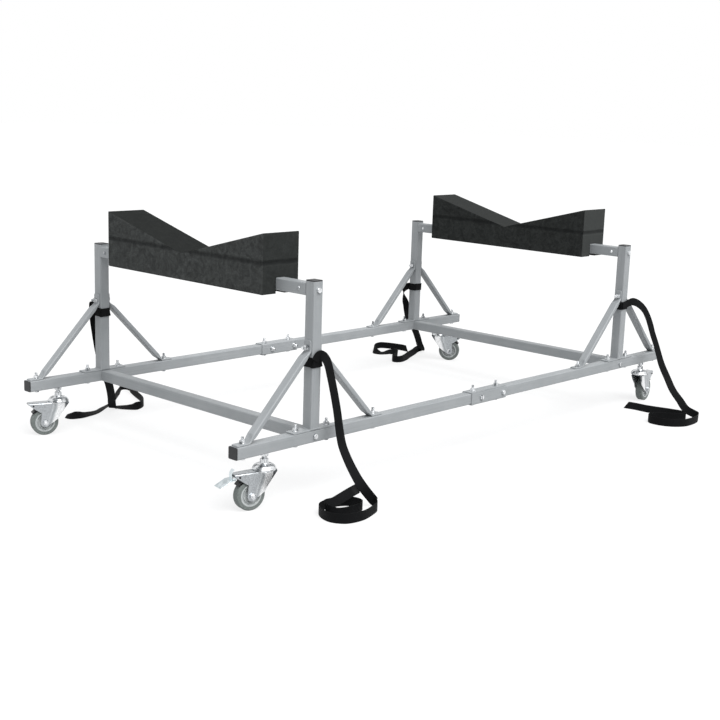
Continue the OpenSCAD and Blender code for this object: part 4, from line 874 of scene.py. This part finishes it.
def fork_grid():
    """Carries a closed sheet section, up one cheek, over the crown and down the other, from the
    crown's back to the horn's tip. The lip turns the cheek's foot in by a bell curve of its height."""
    lower, upper = fork_outline()
    outside, bend = fork_gap / 2 + fork_sheet, 0.0052
    lip = np.clip((0.055 - lower[:, 0]) / 0.01, 0, 1) * np.clip((lower[:, 1] - 0.050) / 0.008, 0, 1) * 0.0016
    share = np.array([0, 0.02, 0.05, 0.10, 0.3, 0.6, 0.85, 1.0])
    turn = np.linspace(0, math.pi / 2, 6)[1:]
    loops = []
    for k in range(len(lower)):
        taper = 0.0035 * np.clip((upper[k] - 0.045) / 0.045, 0, 1)
        layers = []
        for skin in (0.0, fork_sheet):
            reach, bend_radius, top = outside - skin - taper, bend - skin * 0.8, crown_z - skin
            foot = lower[k] + (0, skin * 0.12)
            head = np.array([upper[k], top - bend_radius])
            cheek = foot + (head - foot) * share[:, None]
            aside = reach - lip[k] * np.exp(-(share / 0.06) ** 2)
            fold = np.stack([np.full(5, upper[k]), reach - bend_radius * (1 - np.cos(turn)),
                             head[1] + bend_radius * np.sin(turn)], axis=1)
            one = np.vstack([np.stack([cheek[:, 0], aside, cheek[:, 1]], axis=1), fold])
            layers.append(np.vstack([one, one[::-1] * (1, -1, 1)]))
        loops.append(np.vstack([layers[0], layers[1][::-1]]))
    return np.array(loops)


def pressed_zinc_material():
    """Bright zinc on pressed sheet, banded by distance from the fork's back: painted shade where the
    sheet curls in, a broad painted highlight as an upright band where it turns, then clouded grey."""
    material, tree = start_material("pressed_bright_zinc_sheet")
    coordinates = add(tree, "TexCoord").outputs
    place = coordinates["Object"]
    inward = add(tree, "SeparateXYZ", [("Vector", coordinates["UV"])]).outputs["X"]
    uneven = add(tree, "TexNoise", [("Vector", place), ("Scale", 1000 / 14), ("Detail", 3.0)])
    wander = add(tree, "MapRange", [("Value", uneven), ("To Min", -0.003), ("To Max", 0.003)])
    off = add(tree, "Math", [(0, inward), (1, wander)], operation="ADD")
    # The ramp runs over 50 mm, so a position on it is the distance in metres times 20.
    position = add(tree, "Math", [(0, off), (1, 20.0)], operation="MULTIPLY")
    # Painted light: a dark stretch for the shade inside the curl, and a bright upright band for the highlight
    # where the sheet turns.
    painted_light_bands = add(tree, "ValToRGB", [("Fac", position)],
                [(0.0, "#4b4f52"), (0.20, "#5f6366"), (0.28, "#f6f7f8"), (0.62, "#fbfcfd"),
                 (0.72, "#c4c8ca"), (0.80, "#a3a7aa"), (0.92, "#c6cacc"), (1.0, "#b2b6b9")])
    crystals = add(tree, "TexNoise", [("Vector", place), ("Scale", 1000 / 3.5), ("Detail", 4.0),
                                      ("Roughness", 0.6)])
    clouds = add(tree, "ValToRGB", [("Fac", crystals)], [(0.3, "#b8b8b8"), (0.6, "#ffffff")])
    tone = add(tree, "Mix", [("Factor", 0.6), ("A", painted_light_bands), ("B", clouds)], data_type="RGBA",
               blend_type="MULTIPLY")
    waves = add(tree, "TexNoise", [("Vector", place), ("Scale", 1000 / 1.6), ("Detail", 3.0)])
    bump = add(tree, "Bump", [("Height", waves), ("Strength", 0.06), ("Distance", 0.0003)])
    return finish_material(material, [("Base Color", tone), ("Metallic", 0.8), ("Roughness", 0.2),
                                      ("Normal", bump)])


def rubber_material():
    """Grey thermoplastic rubber: matt, with dusty blotches of 5 mm and fine moulding lines."""
    material, tree = start_material("grey_caster_rubber")
    place = add(tree, "TexCoord").outputs["Object"]
    dust = add(tree, "TexNoise", [("Vector", place), ("Scale", 1000 / 5), ("Detail", 5.0),
                                  ("Roughness", 0.65)])
    lines = add(tree, "TexNoise", [("Vector", place), ("Scale", 1000 / 1.1), ("Detail", 3.0)])
    tone = add(tree, "ValToRGB", [("Fac", dust)], [(0.3, "#646a68"), (0.75, "#7c827f")])
    rough = add(tree, "MapRange", [("Value", dust), ("To Min", 0.5), ("To Max", 0.78)])
    bump = add(tree, "Bump", [("Height", lines), ("Strength", 0.15), ("Distance", 0.0004)])
    return finish_material(material, [("Base Color", tone), ("Roughness", rough), ("IOR", 1.5),
                                      ("Normal", bump)])


def hub_material():
    """Pale grey moulded nylon with a soft gloss and faint flow marks."""
    material, tree = start_material("pale_grey_moulded_hub")
    place = add(tree, "TexCoord").outputs["Object"]
    flow = add(tree, "TexNoise", [("Vector", place), ("Scale", 1000 / 11), ("Detail", 3.0),
                                  ("Distortion", 1.2)])
    tone = add(tree, "ValToRGB", [("Fac", flow)], [(0.3, "#a9adad"), (0.7, "#bfc3c2")])
    rough = add(tree, "MapRange", [("Value", flow), ("To Min", 0.34), ("To Max", 0.5)])
    return finish_material(material, [("Base Color", tone), ("Roughness", rough), ("IOR", 1.46)])


rubber, hub_plastic = rubber_material(), hub_material()
shoe_plastic = moulded_black_material("black_brake_shoe_plastic", "#131416", "#1f2124", 0.38)
# Both outlines go from the bore or the seat to the middle of the tread, and back as a mirror image.
hub_rings = [(0.00405, -0.013), (0.0082, -0.013), (0.009, -0.0122), (0.009, -0.0104), (0.0122, -0.0098),
             (0.0130, -0.0068), (0.0178, -0.0064), (0.0186, -0.0094), (0.0202, -0.0094), (0.0210, -0.0066),
             (0.0238, -0.0068), (0.0248, -0.0112), (0.0252, -0.012), (0.029, -0.012)]
hub_rings += [(radius, -level) for radius, level in hub_rings[::-1]]
turn = np.linspace(0.1, 1.5, 7)
shoulder = np.stack([0.0356 + 0.0044 * np.sin(turn), -0.0075 - 0.0045 * np.cos(turn)], axis=1).tolist()
tyre_rings = [(0.029, -0.012), (0.0335, -0.012), (0.0341, -0.0116), (0.0350, -0.0116), (0.0356, -0.0120),
              *shoulder, (wheel_radius, -0.004), (wheel_radius, 0)]
tyre_rings += [(radius, -level) for radius, level in tyre_rings[-2::-1]]
fork_shape = fork_grid()
# The fork's own map: the distance from its sloping back, and the height.
fork_inward = fork_shape[:, :, 0] + 0.028 - 0.35 * np.clip(0.085 - fork_shape[:, :, 2], 0, 1)
fork_uv = np.stack([fork_inward, fork_shape[:, :, 2]], axis=2).reshape(-1, 2)
pressed_zinc = pressed_zinc_material()
disc_low = crown_z - fork_sheet
crown_disc = turned([(0.0262, disc_low), (0.0276, 0.0974), (0.0280, 0.0982), (0.0276, 0.0991),
                     (0.0262, crown_z), (stem_hole, crown_z), (stem_hole, disc_low)], 64)
shoe_low, shoe_high, shoe_inner, shoe_outer, shoe_wide = 38, 80, 0.0427, 0.0467, 0.022
shoe_ribs, rib_deep = 7, 0.0009
pin_d, pin_z, stalk_half, boss_radius = 0.076, 0.091, 0.007, 0.0045


def shoe_solids(origin, ways):
    """Arched shoe with seven cross ribs under it, its stalk, and the boss and pin moulded in one
    with it. The ribs are a cosine of the angle, cut into the shoe's inner arc."""
    along, side, up = ways
    flat_ways = (along, up, -side)
    turn = np.radians(np.linspace(shoe_low, shoe_high, 36))
    teeth = rib_deep * (0.5 - 0.5 * np.cos(np.linspace(0, shoe_ribs * 2 * math.pi, 36)))
    rays = np.stack([np.cos(turn), np.sin(turn)], axis=1)
    axle = np.array([trail, wheel_radius])
    outline = np.vstack([axle + shoe_outer * rays, (axle + (shoe_inner + teeth)[:, None] * rays)[::-1]])
    shoe = plate(outline, -shoe_wide / 2, shoe_wide / 2, 0.0007)
    reach = np.array([pin_d - trail, pin_z - wheel_radius])
    far = float(np.linalg.norm(reach))
    out = reach / far
    left = np.array([-out[1], out[0]])
    stalk_ends = ((0.0447, -0.0042), (far, -0.003), (far, 0.003), (0.0447, 0.0042))
    stalk_outline = np.array([axle + out * ahead_by + left * left_by for ahead_by, left_by in stalk_ends])
    stalk = plate(stalk_outline, -stalk_half, stalk_half, 0.0008)
    boss = [(0.0038, -stalk_half), (boss_radius, -0.0063), (boss_radius, 0.0063), (0.0038, stalk_half)]
    pin = [(0.0021, -0.0175), (0.0025, -0.0171), (0.0025, 0.0171), (0.0021, 0.0175)]
    centre = np.asarray(origin) + pin_d * along + pin_z * up
    return ([solid(lay(part, origin, flat_ways)) for part in (shoe, stalk)]
            + [solid(lay(part, centre, flat_ways)) for part in (turned(boss, 32), turned(pin, 24))])


cheek_out = fork_gap / 2 + fork_sheet
axle_rod = rod(bolt_radius, -0.0005, 2 * cheek_out, 2 * cheek_out + nut_tall + 0.002, thread_pitch)
axle_nut = hex_nut(hex_flats, 2 * cheek_out, nut_tall, bolt_radius + bore_play)
for name in corners:
    origin, ways = caster_origin(name), caster_ways(name)
    along, side, up = ways
    axle = np.asarray(origin) + trail * along + wheel_radius * up
    swivel, wheel = name + "_swivel", name + "_wheel"
    sheet_points, sheet_faces, _ = solid(lay(fork_shape, origin, ways))
    disc = solid(lay(crown_disc, origin, ways), close_rows=True)
    piece(name + "_pressed_fork", [(sheet_points, sheet_faces, fork_uv), disc], pressed_zinc, swivel,
          [name + "_fork"], 30)
    head_at, bolt_ways = axle - cheek_out * side, (along, -up, side)
    bolt = [solid(lay(part, head_at, bolt_ways)) for part in (hex_head(hex_flats, head_tall), axle_rod)]
    bolt.append(solid(lay(axle_nut, head_at, bolt_ways), close_rows=True))
    piece(name + "_axle_bolt_m8", bolt, zinc, swivel, [name + "_axle_bolt"], 30)
    hub = solid(lay(turned(hub_rings, 72), axle, (along, up, -side)), close_rows=True)
    piece(name + "_moulded_hub", [hub], hub_plastic, wheel, [name + "_hub"], 30)
    tyre = solid(lay(turned(tyre_rings, 96), axle, (along, up, -side)), close_rows=True)
    piece(name + "_rubber_tyre", [tyre], rubber, wheel, [name + "_tyre"], 40)
    shoe_body = name + "_brake" if name == "near_left" else swivel
    piece(name + "_ribbed_shoe", shoe_solids(origin, ways), shoe_plastic, shoe_body, [name + "_brake_shoe"],
          30)

# Brake pedal
# A pressed steel plate on two ears that turn on the shoe's pin. It bends down past the horn, and a
# narrow release tab stands up before the horn and leans back over it. Only the near left caster has
# one.
origin, ways = caster_origin("near_left"), caster_ways("near_left")
along, side, up = ways
pedal_thick, pedal_wide, pedal_from, pedal_to, pedal_fall = 0.002, 0.034, 0.087, 0.130, 0.015
plate_low, tab_wide, ear_radius = pin_z - 0.006, 0.014, 0.005
sheet_thick = pedal_thick * 0.9


def strip(path, wide, origin, ways):
    """A flat strip of sheet bent along a path of (d, z) points: a rounded section carried along it."""
    path = np.asarray(path, float)
    ahead_way = unit(np.gradient(path, axis=0))
    raised = np.stack([-ahead_way[:, 1], ahead_way[:, 0]], axis=1)
    loop = rounded_loop(wide, sheet_thick, 0.0008, 4)
    grid = np.empty((len(path), len(loop), 3))
    grid[:, :, 0] = path[:, None, 0] + raised[:, None, 0] * loop[None, :, 1]
    grid[:, :, 1] = loop[None, :, 0]
    grid[:, :, 2] = path[:, None, 1] + raised[:, None, 1] * loop[None, :, 1]
    return solid(lay(grid, origin, ways))


slope = np.linspace(0, 1, 40)
fall = np.interp(slope, [0, 0.35, 0.41, 1], [0, 0.0004, 0.0022, pedal_fall])
plate_path = np.stack([pedal_from + (pedal_to - pedal_from) * slope, plate_low + 0.0006 - fall], axis=1)
tab_path = [(0.0935, plate_low + 0.001), (0.0940, plate_low + 0.007), (0.0946, crown_z - 0.001),
            (0.0942, crown_z + 0.0025), (0.0915, crown_z + 0.0070), (0.0872, crown_z + 0.0115)]
pedal = [strip(path, wide, origin, ways) for path, wide in ((plate_path, pedal_wide), (tab_path, tab_wide))]
ear_tail = [(pedal_from + 0.006, plate_low - 0.0015), (pedal_from + 0.006, plate_low + 0.002)]
ear = np.vstack([bend_arc((pin_d, pin_z), ear_radius, 60, 300, 14), ear_tail])
for hand in (-1, 1):
    ear_at = hand * (stalk_half + 0.0011)
    ear_sheet = plate(ear, ear_at - pedal_thick / 2, ear_at + pedal_thick / 2, 0.0004)
    pedal.append(solid(lay(ear_sheet, origin, (along, up, -side))))
pale_zinc = zinc_material("bright_zinc_pedal", "#c3cccf", "#dfe7ea", 0.30, 20, 0.2)
piece("near_left_pedal_plate", pedal, pale_zinc, "near_left_brake", ["near_left_brake_pedal"],
      30)

# Bands round the posts
# The same webbing, drawn tight round each square post just below or among the brace ends. The far
# left band ends in a tab that its loose strap folds over.
band_heights = {"near_left": 0.351, "near_right": 0.358, "far_left": 0.352, "far_right": 0.307}
band_gap, band_wave, band_lean = 0.0026, 0.0008, 0.035
band_solids = []
for name, (sx, sy) in corners.items():
    around = rounded_loop(tube + band_gap, tube + band_gap, 0.004, 7)
    share = np.linspace(0, 1, len(around), endpoint=False)
    lift = band_wave * np.sin(2 * math.pi * (share * 3 + 0.3 * sx))
    centre = np.column_stack([around + (sx * post_x, sy * rail_y), band_heights[name] + lift])
    slack = around / tube * 2
    width_way = np.column_stack([-band_lean * slack, np.ones(len(around))])
    band_solids.append(solid(sweep_webbing(centre, width_way, closed=True), close_rows=True))
tab_rise = np.linspace(0.340, 0.380, 12)
tab_off = half + 0.0028 + 0.0004 * np.sin(tab_rise * 160)
tab = np.stack([np.full(12, -post_x - 0.012), rail_y + tab_off, tab_rise], axis=1)
band_solids.append(solid(sweep_webbing(tab, np.broadcast_to(X, tab.shape))))
piece("post_strap_bands", band_solids, webbing, "stand", ["strap_loops"], 50)

# Floor and light
# A white floor that keeps the stand's soft shadow, a broad soft key light from high in front, a weak
# one from the left, and an even pale surrounding that the camera sees as white.
world = bpy.data.worlds.new("studio")
scene.world = world
world.use_nodes = True
world.node_tree.nodes.clear()


def seen_directly(tree):
    """1 for rays of the camera, of reflections and of glass, which see the background, else 0."""
    rays = add(tree, "LightPath").outputs
    direct = rays["Is Camera Ray"]
    for kind in ("Is Glossy Ray", "Is Transmission Ray"):
        direct = add(tree, "Math", [(0, direct), (1, rays[kind])], operation="MAXIMUM")
    return direct


tree = world.node_tree
ambient = add(tree, "Background", [("Color", linear("#f4f7fb")), ("Strength", 0.46)])
white = add(tree, "Background", [("Color", (1, 1, 1, 1)), ("Strength", 1.0)])
sky = add(tree, "MixShader", [(0, seen_directly(tree)), (1, ambient), (2, white)])
add(tree, "OutputWorld", [("Surface", sky)])

floor_material, tree = start_material("white_studio_floor")
direct = seen_directly(tree)
grain = add(tree, "TexNoise", [("Vector", add(tree, "TexCoord").outputs["Object"]), ("Scale", 1000 / 400),
                               ("Detail", 3.0)])
bounce = add(tree, "ValToRGB", [("Fac", grain)], [(0.35, "#bebebe"), (0.65, "#c6c6c6")])
tone = add(tree, "Mix", [("Factor", direct), ("A", bounce), ("B", (1, 1, 1, 1))], data_type="RGBA")
paper = add(tree, "BsdfDiffuse", [("Color", tone)])
glow = add(tree, "Emission", [("Color", (1, 1, 1, 1)), ("Strength", 1.0)])
lift = add(tree, "Math", [(0, direct), (1, 0.78)], operation="MULTIPLY")
lit = add(tree, "MixShader", [(0, lift), (1, paper), (2, glow)])
add(tree, "OutputMaterial", [("Surface", lit)])
floor_mesh = bpy.data.meshes.new("studio_floor")
floor_mesh.from_pydata([(-30, -30, 0), (30, -30, 0), (30, 30, 0), (-30, 30, 0)], [], [(0, 1, 2, 3)])
floor_mesh.materials.append(floor_material)
floor = bpy.data.objects.new("studio_floor", floor_mesh)
scene.collection.objects.link(floor)


def aim(lamp, place, target):
    """Puts a lamp at place and turns it to face target."""
    way = unit(np.asarray(place, float) - np.asarray(target, float))
    right = unit(np.cross(Z, way))
    top = np.cross(way, right)
    lamp.matrix_world = Matrix([[right[k], top[k], way[k], place[k]] for k in range(3)] + [[0, 0, 0, 1]])
    scene.collection.objects.link(lamp)


key = bpy.data.lights.new("key_sun", "SUN")
key.energy, key.angle = 3.3, math.radians(50)
aim(bpy.data.objects.new("key_sun", key), (-0.3, -2.2, 3.6), (0, 0, 0.3))
fill = bpy.data.lights.new("fill_lamp", "AREA")
fill.size, fill.energy = 2.4, 14
aim(bpy.data.objects.new("fill_lamp", fill), (-3.6, 0.6, 2.4), (0, 0, 0.3))
scene.view_settings.view_transform = "Standard"
